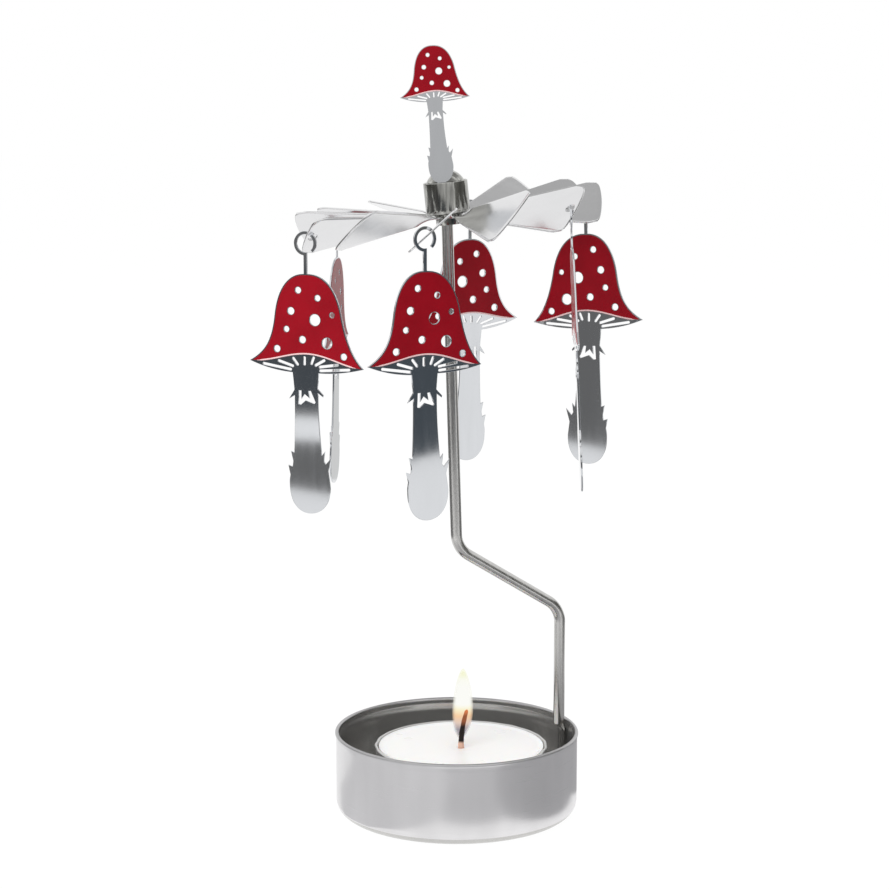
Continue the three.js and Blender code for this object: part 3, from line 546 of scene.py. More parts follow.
def burning_gas(sizes):
    """Light of its own that lets the background through. Its colour goes by height from the foot
    over the wick's glow to the body and the tip, and by depth from the skin to the core."""
    finish = Finish("burning_gas")
    rise = finish.height_between(sizes.low, sizes.high)
    depth = finish.add("Attribute", {}, "Fac", attribute_name="depth")
    foot = ((0.14, sizes.root), (0.24, sizes.halo), (0.34, sizes.glow))
    core = finish.ramp(rise, *foot, (0.43, sizes.cream), (0.5, sizes.body), (0.84, sizes.body),
                       (0.94, sizes.tip))
    edge = finish.ramp(rise, *foot, (0.46, sizes.skin), (0.75, sizes.skin), (0.9, sizes.tip))
    inwards = finish.ramp(depth, (0.0, 0.15), (0.4, 0.9), (1.0, 1.0))
    colour_mix = finish.add("Mix", {"Factor": inwards, "A": edge, "B": core}, "Result",
                            data_type="RGBA")
    thick = finish.ramp(depth, (0.0, 0.28), (0.33, 0.42), (0.67, 0.7), (1.0, 1.0))
    fading = finish.ramp(rise, (0.0, 0.35), (0.15, 0.5), (0.24, 1.0))
    seen = finish.add("Math", {0: thick, 1: fading}, operation="MULTIPLY")
    finish.show(finish.add("MixShader", {"Fac": seen, 1: finish.add("BsdfTransparent", {}),
                                         2: finish.add("Emission", {"Color": colour_mix})}))
    return finish.material


# Cup

# The groove and the bead inside the lip: how far each goes outwards, how far below the lip its
# middle lies, and its half width, in millimetres
LIP_WAVES = ((0.12, 0.9, 0.5), (-0.09, 2.5, 0.75))


def cup_profile(sizes):
    """Radius and height of the cup's section: flat bottom, round corner, straight wall and rolled
    lip. Inside, below the lip, come a groove and a bead, each a bell curve."""
    inner = sizes.radius - sizes.wall
    corner = (sizes.radius - sizes.corner, sizes.corner)
    lip = (inner + sizes.lip, sizes.height - sizes.lip)
    below = np.linspace(0.3, 6, 26)
    waves = sum(outwards * np.exp(-((below - middle) / width) ** 2)
                for outwards, middle, width in LIP_WAVES)
    return path_through(
        [(0, 0), (corner[0] * 0.5, 0)],
        arc(corner, sizes.corner, -90, 0, 14),
        [(sizes.radius, lip[1] - sizes.lip - 1.2 * MM), (sizes.radius, lip[1] - sizes.lip)],
        arc(lip, sizes.lip, -25, 180, 16),
        np.stack([inner + waves * MM, lip[1] - below * MM], axis=1),
        arc(corner, sizes.corner - sizes.wall, 0, -90, 12),
        [(corner[0] * 0.5, sizes.wall), (0, sizes.wall)])


class HOLDER_OT_cup(bpy.types.Operator):
    """Makes the steel cup that stands on the table"""
    bl_idname = "candle_holder.cup"
    bl_label = "Cup"

    def execute(self, context):
        sizes = context.scene.holder_cup
        piece = turned("cup_wall", cup_profile(sizes), 160, sharp=50)
        finish = brushed_cup_steel(sizes.finish, sizes.height - 2 * sizes.lip, sizes.height)
        seat(piece, "stand", "brushed_steel", finish, "cup")
        piece.data.materials.append(grained("drawn_steel_inside", sizes.inside, CUP_INSIDE,
                                            {"Metallic": 0.86}))
        x, y, z = values_of(piece.data.polygons, "center", 3).T
        inner = np.hypot(x, y) < sizes.radius - sizes.wall * 0.6
        inner &= (z > sizes.wall * 0.6) & (z < sizes.height - sizes.lip)
        piece.data.polygons.foreach_set("material_index", inner.astype(np.int32))
        return {"FINISHED"}


# Rod

ROD_STEP = 0.3 * MM


def bent_path(corners, radius, step):
    """A path through corners in a plane. Each inner corner gives way to an arc that touches both
    lengths, a radius times the tangent of half the turn away from it. Lengths are cut into
    steps."""
    corners = np.array(corners)
    ways = unit(np.diff(corners, axis=0))
    stretches, start = [], corners[0]

    def straight(end):
        count = max(2, int(np.linalg.norm(end - start) / step))
        return start + (end - start) * np.linspace(0, 1, count)[:, None]

    for corner, before, after in zip(corners[1:-1], ways[:-1], ways[1:]):
        turn = math.acos(float(np.clip(before @ after, -1, 1)))
        side = math.copysign(1, before[0] * after[1] - before[1] * after[0])
        entry = corner - before * radius * math.tan(turn / 2)
        middle = entry + side * radius * np.array([-before[1], before[0]])
        stretches.append(straight(entry))
        spin = side * np.linspace(0, turn, 14)[:, None]
        spoke = entry - middle
        stretches.append(middle + spoke * np.cos(spin)
                         + np.array([-spoke[1], spoke[0]]) * np.sin(spin))
        start = stretches[-1][-1]
    return path_through(*stretches, straight(corners[-1]))


def rod_surface(sizes, cup):
    """Centres and half widths along the rod. In the upright plane of the rod, its centre keeps the
    outer side flush as the round wire flattens into the foot. The point is a cone with a round
    end."""
    radius = sizes.diameter / 2
    wall = cup.radius - cup.wall - sizes.seat_gap
    pivot = JOINTS["rotor_spin"]["pos_m"][2]
    lean = math.tan(sizes.lean) * (pivot - sizes.upper_bend)
    path = bent_path([(wall - radius, sizes.foot_clearance), (wall - radius, sizes.lower_bend),
                      (0, sizes.upper_bend), (-lean, pivot)], sizes.bend, ROD_STEP)
    height = path[:, 1]
    foot_top = sizes.foot_clearance + sizes.foot_length
    round_share = smooth(height, foot_top, foot_top + sizes.shoulder)
    through, along = (half + (radius - half) * round_share
                      for half in (sizes.foot_thickness / 2, sizes.foot_width / 2))
    end = np.clip((height - sizes.foot_clearance) / radius, 0, 1)
    rounding = np.sqrt(1 - (1 - end) ** 2)
    to_tip = np.linalg.norm(path - path[-1], axis=1)
    tip = sizes.needle_tip
    cone = np.clip(to_tip / sizes.needle, 0, 1) * (radius - tip) + tip
    nose = np.sqrt(np.clip(to_tip / tip, 0, 1))
    near_tip = height > pivot - 2 * sizes.needle
    through = np.where(near_tip, np.minimum(through, cone) * nose, through * rounding ** 0.5)
    along = np.where(near_tip, np.minimum(along, cone) * nose, along * rounding)
    shift = np.where(near_tip | (height > foot_top + sizes.shoulder), 0, radius - through)
    way = unit(np.gradient(path, axis=0))
    cosine, sine = math.cos(sizes.azimuth), math.sin(sizes.azimuth)
    out, side, up = np.array([cosine, sine, 0]), np.array([-sine, cosine, 0]), np.array(UPRIGHT)
    centres = (path[:, :1] + shift[:, None]) * out + path[:, 1:] * up
    across = way[:, 1:] * out - way[:, :1] * up
    return centres, through[:, None] * across, along[:, None] * side


class HOLDER_OT_rod(bpy.types.Operator):
    """Makes the bent rod with its flattened foot and its needle point"""
    bl_idname = "candle_holder.rod"
    bl_label = "Rod"

    def execute(self, context):
        sizes = context.scene.holder_rod
        centres, through, along = rod_surface(sizes, context.scene.holder_cup)
        piece = swept("rod_wire", centres, through, along, 40, sharp=60)
        seat(piece, "stand", "wire_steel", grained("drawn_wire", sizes.finish, WIRE), "rod")
        return {"FINISHED"}


# Wheel

# How each blade departs from the even wheel, in degrees: more twist, a lift of its end, and a
# turn of it to the side. The first is the one with the front hook, the others go anticlockwise.
BLADE_BENDS = [(2, -0.7, 0), (8.5, 1.9, 0), (3, 0.6, 0), (0, 0, 0), (2, 0.3, 0), (6, 2, 0),
               (0, -0.4, 0), (-8, 0.4, 0), (0, -0.5, 0), (0, 0.8, 0), (0, -0.8, 0), (0, 1.6, -1.5)]
# Where a blade's hole meets its hook's ring, as an angle round the ring, and the ring's toe-in
HOOK_SEAT, HOOK_TOE_IN = math.radians(42), math.radians(45)
# Rows of points in the web, the radius in which a blade's faces go, as a share of the hole's
# diameter, and the width of the sheet's soft edges as a share of its thickness
WEB_ROWS, OPENED, SOFT_EDGE = 5, 0.72, 0.2


def rotor_place(sizes):
    """Where the tilted rotor's own frame lies: at the needle's point, turned about X and then Y."""
    tilt = Matrix.Rotation(sizes.tilt_front, 4, "X") @ Matrix.Rotation(-sizes.tilt_left, 4, "Y")
    return Matrix.Translation(JOINTS["rotor_spin"]["pos_m"]) @ tilt


def half_blade(sizes, along):
    """Half a blade's width: it grows in a straight line from the root to the outer corners."""
    root = math.pi * sizes.root / sizes.blades - sizes.slit / 2
    outer = math.sqrt(sizes.radius ** 2 - (sizes.blade_width / 2) ** 2)
    return root + (sizes.blade_width / 2 - root) * (along - sizes.root) / (outer - sizes.root)


def blade_end(sizes):
    """The outline of a blade's end: an arc about the wheel's middle between two rounded corners."""
    half = sizes.blade_width / 2
    flat = half - sizes.corner
    corner_along, flat_along = (math.sqrt(sizes.radius ** 2 - side ** 2) for side in (half, flat))
    side_along = corner_along - sizes.corner
    upper = bezier([(flat_along, flat), (corner_along, half),
                    (side_along, half_blade(sizes, side_along))], 10)
    reach = math.degrees(math.asin(flat / sizes.radius))
    return path_through(upper[::-1] * (1, -1), arc((0, 0), sizes.radius, -reach, reach, 20), upper)


def wheel_points(sizes, along, across, turn, bends=(0, 0, 0)):
    """Bends the flat wheel: a point at a distance along a blade and across it is turned about the
    blade's middle line by the twist, lifted in step with its distance, and turned round Z. Twist,
    lift and sway grow from the root as a smooth step."""
    bent = smooth(along, sizes.root, sizes.root + sizes.twist_length)
    extra, lift, sway = np.radians(bends)
    twist = (sizes.twist + extra) * bent
    turn = turn + sway * bent
    sideways = across * np.cos(twist)
    rise = across * np.sin(twist) + (along - sizes.root) * math.tan(lift) * bent
    return np.stack([along * np.cos(turn) - sideways * np.sin(turn),
                     along * np.sin(turn) + sideways * np.cos(turn), rise], axis=-1)


def blade_grid(sizes, rows=34, columns=17):
    """Places on a flat blade: rows run from the root to the end's outline, and a column keeps its
    share of the half width."""
    shares = np.linspace(-1, 1, columns)
    end = blade_end(sizes)
    reach = np.interp(shares, end[:, 1] / half_blade(sizes, end[:, 0]), end[:, 0])
    along = sizes.root + (reach - sizes.root) * np.linspace(0, 1, rows)[:, None]
    return along, shares * half_blade(sizes, along)


def pierced(sizes, along, across, faces):
    """Opens a round hole in a blade's grid: the faces round the hole's middle go, and a ring of
    new faces joins their border to points on the circle in the same directions."""
    middle = np.array([sizes.radius - sizes.hole_margin, 0])
    flat = np.stack([along, across], axis=1)
    inside = np.linalg.norm(flat[faces].mean(axis=1) - middle, axis=1) < sizes.hole * OPENED
    gone = faces[inside]
    edges = np.concatenate([gone[:, [k, (k + 1) % 4]] for k in range(4)])
    both = {tuple(edge) for edge in edges.tolist()}
    border = [edge for edge in both if edge[::-1] not in both]
    start, stop = np.array(border).T
    points, where = np.unique(border, return_inverse=True)
    ring = middle + unit(flat[points] - middle) * sizes.hole / 2
    where = where.reshape(-1, 2) + len(flat)
    bridge = np.stack([start, stop, where[:, 1], where[:, 0]], axis=1)
    return *np.concatenate([flat, ring]).T, np.concatenate([faces[~inside], bridge])


def ring_lead(sizes, toadstool):
    """How far a hooked blade stands ahead of its ring: the ring's slant over the hole's radius."""
    slant = (toadstool.ring - toadstool.wire) / 2 * math.cos(HOOK_SEAT) * math.sin(HOOK_TOE_IN)
    return slant / (sizes.radius - sizes.hole_margin)


def wheel_sheet(scene):
    """Points and faces of the whole wheel as one sheet without thickness. Every second blade is
    pierced, and a web joins each blade's root and the next one's first point to the bore."""
    sizes, hub, rod = scene.holder_wheel, scene.holder_hub, scene.holder_rod
    under = sizes.drop + sizes.sheet / 2 + hub.spigot
    lean = math.tan(sizes.tilt_left + rod.lean)
    bore = rod.diameter / 2 + lean * under + 2 * hub.gap + hub.wall
    along, across = blade_grid(sizes)
    plain = along.ravel(), across.ravel(), grid_faces(*along.shape, wrap=False)
    kinds = pierced(sizes, *plain), plain
    pitch = 2 * math.pi / sizes.blades
    first = sizes.first_hook + ring_lead(sizes, scene.holder_toadstool)
    points, faces, total = [], [], 0
    for blade in range(sizes.blades):
        turn = first + blade * pitch
        out, side, cells = kinds[blade % 2]
        bent = wheel_points(sizes, out, side, turn, BLADE_BENDS[blade % len(BLADE_BENDS)])
        outer = np.concatenate([
            wheel_points(sizes, along[0], across[0], turn),
            wheel_points(sizes, along[0, :1], across[0, :1], turn + pitch)])
        inner = unit(outer) * bore
        web = inner + (outer - inner) * np.linspace(0, 1, WEB_ROWS)[:, None, None]
        web_cells = grid_faces(WEB_ROWS, len(outer), wrap=False)[:, ::-1]
        for made, shape in ((bent, cells), (web.reshape(-1, 3), web_cells)):
            points.append(made)
            faces.append(shape + total)
            total += len(made)
    return np.concatenate(points), np.concatenate(faces)


class HOLDER_OT_wheel(bpy.types.Operator):
    """Makes the stamped wheel with its twisted blades and the holes for the hooks"""
    bl_idname = "candle_holder.wheel"
    bl_label = "Wheel"

    def execute(self, context):
        sizes = context.scene.holder_wheel
        place = rotor_place(sizes) @ Matrix.Translation((0, 0, -sizes.drop))
        piece = new_piece("wheel_sheet", *wheel_sheet(context.scene), place)
        solid = piece.modifiers.new("thickness", "SOLIDIFY")
        solid.thickness = sizes.sheet
        solid.offset = 0
        soft = piece.modifiers.new("edges", "BEVEL")
        soft.width = sizes.sheet * SOFT_EDGE
        soft.segments = 2
        soft.limit_method = "ANGLE"
        soft.angle_limit = math.radians(60)
        seat(piece, "rotor", "bright_sheet",
             grained("rolled_sheet", sizes.finish, ROLLED, own_noise=SHEET_WAVES), "wheel")
        return {"FINISHED"}


# Hub

def hub_heights(scene):
    """Heights of the hub from the needle's point: the sleeve's foot and top, the shoulder inside,
    the cap's floor, and the spigot's end with its bore, which clears the leaning rod."""
    wheel, hub, rod = scene.holder_wheel, scene.holder_hub, scene.holder_rod
    foot = -wheel.drop + wheel.sheet / 2 + hub.gap
    top = foot + hub.height
    floor = top - hub.cap_depth
    spigot = -wheel.drop - wheel.sheet / 2 - hub.spigot
    bore = rod.diameter / 2 - spigot * math.tan(wheel.tilt_left + rod.lean) + hub.gap
    return foot, top, floor - hub.gap, floor, spigot, bore


def sleeve_profile(scene):
    """Radius and height of the sleeve: a spigot with a rounded end, a rounded neck, a straight
    wall and a turned-in top."""
    hub = scene.holder_hub
    foot, top, shoulder, _, spigot, bore = hub_heights(scene)
    inner, outer = hub.radius - hub.wall, bore + hub.wall
    edge, spigot_edge = hub.wall / 2, 0.12 * MM
    return path_through(
        [(bore, spigot)],
        arc((outer - spigot_edge, spigot + spigot_edge), spigot_edge, -90, 0, 4),
        [(outer, foot)],
        bezier([(hub.neck + hub.wall, foot), (hub.radius, foot),
                (hub.radius, foot + hub.radius - hub.neck)], 10),
        [(hub.radius, top - edge)],
        arc((inner + edge, top - edge), edge, 0, 180, 10),
        [(inner, shoulder), (bore, shoulder - (inner - bore)), (bore, spigot)])


class HOLDER_OT_hub_sleeve(bpy.types.Operator):
    """Makes the plated sleeve in the middle of the wheel"""
    bl_idname = "candle_holder.hub_sleeve"
    bl_label = "Hub sleeve"

    def execute(self, context):
        scene = context.scene
        place = rotor_place(scene.holder_wheel)
        piece = turned("plated_sleeve", sleeve_profile(scene), 96, place, 30)
        # The plating's finish paints reflection streaks, dark and bright, up and down the sleeve
        finish = grained("polished_plating", scene.holder_hub.finish, PLATING,
                         painted_streak_stops=PLATING_PAINTED_REFLECTIONS)
        seat(piece, "rotor", "chrome", finish, "hub_sleeve")
        return {"FINISHED"}


def tab_plane(scene):
    """How far in front of the hub's middle the top toadstool's sheet stands, just inside the
    sleeve."""
    hub, top = scene.holder_hub, scene.holder_top
    corner = hub.radius - hub.wall - hub.gap
    reach = abs(top.across) + top.tab / 2
    return math.sqrt(corner ** 2 - reach ** 2) - scene.holder_toadstool.sheet / 2


class HOLDER_OT_bearing_cap(bpy.types.Operator):
    """Makes the domed cap that closes the sleeve and sits on the needle"""
    bl_idname = "candle_holder.bearing_cap"
    bl_label = "Bearing cap"

    def execute(self, context):
        scene = context.scene
        hub = scene.holder_hub
        _, rim, _, floor, _, bore = hub_heights(scene)
        radius = hub.radius - hub.wall - hub.gap
        ball = (radius ** 2 + hub.dome ** 2) / (2 * hub.dome)
        opened = math.degrees(math.asin(radius / ball))
        tip = scene.holder_rod.needle_tip
        mouth = min(radius - hub.wall, bore)
        profile = path_through(
            [(mouth, floor), (radius, floor)],
            arc((0, rim + hub.dome - ball), ball, 90 - opened, 90, 20),
            [(0, hub.gap), (tip + hub.gap, hub.gap - tip), (mouth, floor)])
        piece = turned("domed_cap", profile, 72, sharp=40)
        flat = tab_plane(scene) - scene.holder_toadstool.sheet / 2 - hub.gap
        points = values_of(piece.data.vertices, "co", 3)
        points[:, 1] = np.maximum(points[:, 1], -flat)
        piece.data.vertices.foreach_set("co", points.ravel())
        piece.data.transform(rotor_place(scene.holder_wheel))
        # The cap shares the sleeve's finish, with its painted reflection streaks
        seat(piece, "rotor", "chrome", bpy.data.materials["polished_plating"], "bearing_cap")
        return {"FINISHED"}


# Toadstools

# Middle of each hole, across as a share of the half hat and down as a share of its height, and
# the hole's radius as a share of the hat's width
HAT_HOLES = [(-0.13, 0.18, 0.025), (0.21, 0.26, 0.024), (-0.26, 0.41, 0.029), (0.16, 0.5, 0.046),
             (0.46, 0.44, 0.02), (-0.34, 0.61, 0.023), (-0.06, 0.72, 0.028), (0.37, 0.75, 0.044),
             (-0.51, 0.83, 0.027), (0.66, 0.89, 0.026)]
# Both ends of each slot: across as a share of the half hat, down as a share of the brim's depth
GILLS = [(-0.273, 0.92, -0.75, 0.66), (-0.236, 0.72, -0.48, 0.46), (-0.15, 0.62, -0.224, 0.29),
         (-0.027, 0.59, -0.027, 0.23), (0.096, 0.54, 0.133, 0.22), (0.17, 0.63, 0.317, 0.34),
         (0.243, 0.72, 0.55, 0.56), (0.25, 0.93, 0.75, 0.81)]
# Corners of the cut: across as a share of the half stem, down as a share of the cut's height
SKIRT_CUT = [(-0.6, 0), (-0.65, 0.97), (-0.45, 1), (-0.07, 0.68), (0.64, 0.91), (0.72, 0.8),
             (0.34, 0), (0.17, 0.02), (0.26, 0.55), (-0.14, 0.26), (-0.42, 0.63), (-0.41, 0)]
# Depths as shares of the hat's height: both tips, the middle of the red's lower edge, the brim,
# half the red's fall from there to the tips, and how much more than that it falls on the right
LEFT_TIP, RIGHT_TIP, RED_EDGE, BRIM, RED_FALL, RED_SLANT = 0.97, 1.02, 0.872, 0.89, 0.0595, 0.0123
# Top of the ragged cut below the brim, as a share of the stem's width
CUT_TOP = 0.66
# The bulb's middle to the right of the hat's, as a share of the bulb's width
BULB_ASIDE = 0.06
# How far the pale line reaches to each side, as a share of the hat's width, its points, those in
# which it grows at an end, and how far it stands above the sheet, against the enamel
LINE_REACH, LINE_POINTS, LINE_ENDS, LINE_HEIGHT = 0.476, 60, 6, 2.2
# Rounding of the enamel's edges against its own height
ENAMEL_EDGE = 0.8
# How far a pendant hangs turned in its own plane
HANG_SWING = {"pendant_3_swing": math.radians(-1.8)}


def brim_height(sizes):
    """Height of the brim's lowest line, below the hat's top."""
    return -sizes.hat_height * BRIM - sizes.brim_depth


def hat_sides(sizes):
    """The hat's left side from its top to the tip and its right side from the tip to the top,
    each made of two curves that meet without a kink, in shares of the half hat and its height."""
    neck = sizes.neck_width / sizes.hat_width
    left = (bezier([(-neck, 0), (-0.28, 0), (-0.5, 0.14), (-0.555, 0.48)]),
            bezier([(-0.555, 0.48), (-0.61, 0.76), (-0.74, 0.87), (-1, LEFT_TIP)]))
    right = (bezier([(1, RIGHT_TIP), (0.82, 0.91), (0.71, 0.74), (0.63, 0.48)]),
             bezier([(0.63, 0.48), (0.55, 0.14), (0.32, 0), (neck, 0)]))
    return [path_through(*side) * (sizes.hat_width / 2, -sizes.hat_height)
            for side in (left, right)]


def hat_edge(sizes, x):
    """Height of the line between the red and the gills: it falls from the middle to both tips as
    one minus the cosine, a little deeper on the right, where the tip hangs lower."""
    part = x / (sizes.hat_width / 2)
    fall = (RED_FALL + RED_SLANT * part) * sizes.hat_height
    return -sizes.hat_height * RED_EDGE - fall * (1 - np.cos(np.pi * part))


def stem_outline(sizes, tab_half=0.0, tab_length=0.0):
    """The outline from the hat's left tip round the brim, the stem with its ragged skirt, the scaly
    bulb and back to the right tip. Ragged stretches are straight, smooth ones are curves."""
    half, stem, bulb, foot = sizes.hat_width / 2, sizes.stem / 2, sizes.bulb / 2, -sizes.height
    brim = brim_height(sizes)
    middle = sizes.bulb * BULB_ASIDE

    def at(side, *places):
        """Points at shares of a half width and shares of the way from the brim to the foot."""
        return [(side * across, brim + (foot - brim) * down) for across, down in places]

    tab = [(middle - tab_half, foot - tab_length), (middle + tab_half, foot - tab_length)]
    return path_through(
        bezier([(-half, -sizes.hat_height * LEFT_TIP), (-half * 0.65, brim * 0.985),
                (-stem * 1.1, brim)]),
        at(-stem, (0.97, 0.122), (1.42, 0.188)),
        bezier(at(-stem, (0.95, 0.162), (0.95, 0.4), (1.03, 0.57))),
        at(-stem, (1.3, 0.56), (1.12, 0.63), (1.18, 0.67), (1.53, 0.66)),
        bezier(at(-stem, (1.36, 0.73)) + at(-bulb, (0.88, 0.76), (0.87, 0.79)), 6),
        bezier(at(-bulb, (0.87, 0.79), (0.87, 0.93), (0.46, 1)) + [(middle - tab_half, foot)]),
        tab if tab_length > 0 else [(middle, foot)],
        bezier([(middle + tab_half, foot)] + at(bulb, (0.7, 1), (1.18, 0.93), (1.13, 0.79))),
        at(bulb, (1.03, 0.69), (1.2, 0.59), (0.92, 0.64), (0.83, 0.62), (0.88, 0.55)),
        bezier(at(bulb, (0.73, 0.58)) + at(stem, (0.92, 0.35), (0.93, 0.14))),
        at(stem, (1.33, 0.167), (1.36, 0.152), (0.9, 0.108)),
        bezier([(stem, brim), (half * 0.6, brim * 1.005), (half, -sizes.hat_height * RIGHT_TIP)]))


def hat_holes(sizes, spare=0.0):
    """Round holes in the hat, each wider than the sheet's own by a spare rim."""
    hat = (sizes.hat_width / 2, -sizes.hat_height)
    return [arc(np.multiply(hat, place), part * sizes.hat_width + spare, 0, 360, 28)[:-1]
            for *place, part in HAT_HOLES]


def gill_slots(sizes):
    """Slots with round ends that fan out from the stem's top: a half circle about each end."""
    slots = []
    for ends in np.reshape(GILLS, (-1, 2, 2)) * (sizes.hat_width / 2, -sizes.brim_depth):
        start, stop = ends - (0, sizes.hat_height * RED_EDGE)
        turn = math.degrees(math.atan2(*(stop - start)[::-1]))
        slots.append(np.concatenate([arc(start, sizes.gill / 2, turn + 90, turn + 270, 6),
                                     arc(stop, sizes.gill / 2, turn - 90, turn + 90, 6)]))
    return slots


def skirt_cut(sizes):
    """The ragged cut below the skirt, a zigzag band with straight sides."""
    top = brim_height(sizes) - sizes.stem * CUT_TOP
    return np.array([0, top]) + np.array(SKIRT_CUT) * (sizes.stem / 2, -sizes.skirt_cut)


def moved_left(path, distance):
    """A path moved sideways: each point goes to the left of the way it runs."""
    way = unit(np.gradient(path, axis=0))
    return path + distance * np.stack([-way[:, 1], way[:, 0]], axis=1)


def cut_at_crossing(first, second):
    """Two paths that cross, each cut at the crossing: the first up to it, the second from it."""
    step, other = np.diff(first, axis=0)[:, None], np.diff(second, axis=0)[None]
    gap = second[None, :-1] - first[:-1, None]

    def cross(a, b):
        return a[..., 0] * b[..., 1] - a[..., 1] * b[..., 0]

    area = cross(step, other)
    on_first, on_second = cross(gap, other) / area, cross(gap, step) / area
    meets = (on_first >= 0) & (on_first <= 1) & (on_second >= 0) & (on_second <= 1)
    i, j = np.argwhere(meets)[0]
    point = first[i] + on_first[i, j] * step[i, 0]
    return np.vstack([first[:i + 1], point]), np.vstack([point, second[j + 1:]])


def enamel_outline(sizes):
    """The red field: the hat's two sides and its lower edge, each moved inwards by the border and
    cut where they cross."""
    left, right = (moved_left(side, sizes.enamel_border) for side in hat_sides(sizes))
    x = np.linspace(-sizes.hat_width / 2, sizes.hat_width / 2, 50)
    left, edge = cut_at_crossing(left, np.stack([x, hat_edge(sizes, x)], axis=1))
    return path_through(left, *cut_at_crossing(edge, right))


def brim_bead(name, sizes, place, size):
    """The pale line along the brim: an oval section carried along the hat's lower edge, which
    grows from both ends as a square root."""
    x = sizes.hat_width * np.linspace(-LINE_REACH, LINE_REACH, LINE_POINTS)
    path = np.stack([x, hat_edge(sizes, x), 0 * x], axis=1)
    number = np.arange(LINE_POINTS)
    ends = np.clip(np.minimum(number, number[::-1]) / LINE_ENDS, 0, 1)[:, None] ** 0.5
    across = np.cross((0, 0, 1), unit(np.gradient(path, axis=0))) * sizes.bead * ends / size ** 0.5
    thick = ends * (0, 0, sizes.sheet / 2 + sizes.enamel * LINE_HEIGHT)
    return swept(name, path, across, thick, 12, place, 80)


def toadstool(node, sizes, outline, body, place, size=1.0):
    """One toadstool: its pierced steel sheet, the red field on both faces and the pale brim line.
    Their finishes are made once."""
    looks = {"toadstool_steel": (sizes.finish, POLISHED),
             "red_enamel": (sizes.red, RED_ENAMEL, ENAMEL_GLOSS, None, ENAMEL_SKIN),
             "pale_enamel": (sizes.pale, PALE_ENAMEL, ENAMEL_GLOSS, None, ENAMEL_SKIN)}
    steel, red, pale = (bpy.data.materials.get(name) or grained(name, *look)
                        for name, look in looks.items())
    holes = [*hat_holes(sizes), *gill_slots(sizes), skirt_cut(sizes)]
    sheet = flat_piece(node + "_sheet", outline, holes, sizes.sheet, sizes.edge, place)
    field = flat_piece(node + "_enamel", enamel_outline(sizes), hat_holes(sizes, sizes.hole_rim),
                       sizes.sheet + 2 * sizes.enamel, sizes.enamel * ENAMEL_EDGE, place)
    bead = brim_bead(node + "_brim_line", sizes, place, size)
    seat(sheet, body, "enamelled_sheet", steel, node)
    seat(field, body, "enamelled_sheet", red)
    seat(bead, body, "enamelled_sheet", pale)


def pendant_outline(sizes):
    """A hanging toadstool's outline: the open ring's inner arc, its outer arc back, the neck and
    the toadstool. The hat's top is the origin."""
    outer = sizes.ring / 2
    inner = outer - sizes.wire
    side = sizes.neck_width / 2
    opening = math.degrees(sizes.opening)
    inside = -math.degrees(math.acos(side / inner))
    outside = -math.degrees(math.acos(-side / outer))
    left, right = hat_sides(sizes)
    middle = (0, outer + sizes.neck)
    return path_through(arc(middle, inner, inside, opening - 360, 48),
                        arc(middle, outer, opening, outside + 360, 48),
                        left, stem_outline(sizes), right)


def pendant_place(joint):
    """A pendant's own frame: at its ring's middle, facing along the joint's axis, and swung by the
    small angle at which the photographed one hangs."""
    facing = Vector(joint["axis"]).normalized()
    side = UPRIGHT.cross(facing).normalized()
    basis = Matrix((side, facing.cross(side), facing)).transposed().to_4x4()
    swing = Matrix.Rotation(HANG_SWING.get(joint["name"], 0.0), 4, "Z")
    return Matrix.Translation(joint["pos_m"]) @ basis @ swing


class HOLDER_OT_pendants(bpy.types.Operator):
    """Makes the toadstools that hang from the wheel"""
    bl_idname = "candle_holder.pendants"
    bl_label = "Hanging toadstools"

    def execute(self, context):
        sizes = context.scene.holder_toadstool
        drop = Matrix.Translation((0, -sizes.ring / 2 - sizes.neck, 0))
        outline = pendant_outline(sizes)
        for joint in frame["joints"]:
            if joint["name"].startswith("pendant"):
                toadstool(joint["name"].removesuffix("_swing"), sizes, outline, joint["child"],
                          pendant_place(joint) @ drop)
        return {"FINISHED"}


class HOLDER_OT_top_toadstool(bpy.types.Operator):
    """Makes the small toadstool on the hub, with its tab"""
    bl_idname = "candle_holder.top_toadstool"
    bl_label = "Top toadstool"

    def execute(self, context):
        scene = context.scene
        sizes, top, hub = scene.holder_toadstool, scene.holder_top, scene.holder_hub
        _, rim, shoulder, _, _, _ = hub_heights(scene)
        tab = (rim - shoulder - hub.gap / 2) / top.scale
        left, right = hat_sides(sizes)
        outline = path_through(left, stem_outline(sizes, top.tab / 2 / top.scale, tab), right)
        stand = (top.across, -tab_plane(scene), rim + hub.gap / 2)
        place = rotor_place(scene.holder_wheel) @ Matrix.Translation(stand)
        place = place @ Matrix.Rotation(math.pi / 2, 4, "X") @ Matrix.Rotation(-top.lean, 4, "Z")
        place = place @ Matrix.Diagonal((top.scale, top.scale, 1, 1))
        place = place @ Matrix.Translation((-sizes.bulb * BULB_ASIDE, sizes.height, 0))
        toadstool("top_toadstool", sizes, outline, "rotor", place, top.scale)
        return {"FINISHED"}


# Tealight

# Gap that stands in for a contact, depth of the rim's dents, air round the wick, and how far the
# wax is drawn down there
SEAT_GAP, DENT, WICK_AIR, WICK_SINK = 0.3 * MM, 0.22 * MM, 0.12 * MM, 0.25 * MM
# The wax's underside and its outer edge there, above the foil
WAX_UNDER, WAX_UNDER_EDGE = 4 * MM, 5 * MM
# The wick's taper, the depth and pitch of its braid's knots, the length of its round ends, and its
# thickness against its width
TAPER, KNOT, KNOT_PITCH, WICK_END, WICK_FLAT = 0.35, 0.1, 0.9 * MM, 0.5 * MM, 0.8
# The flame's shells, the innermost one's width against the outer one's, and how much the shells
# draw in at the foot and at both ends together
FLAME_SHELLS, INNERMOST, FOOT_INSET, BOTH_INSETS = 4, 0.64, 0.12, 0.42


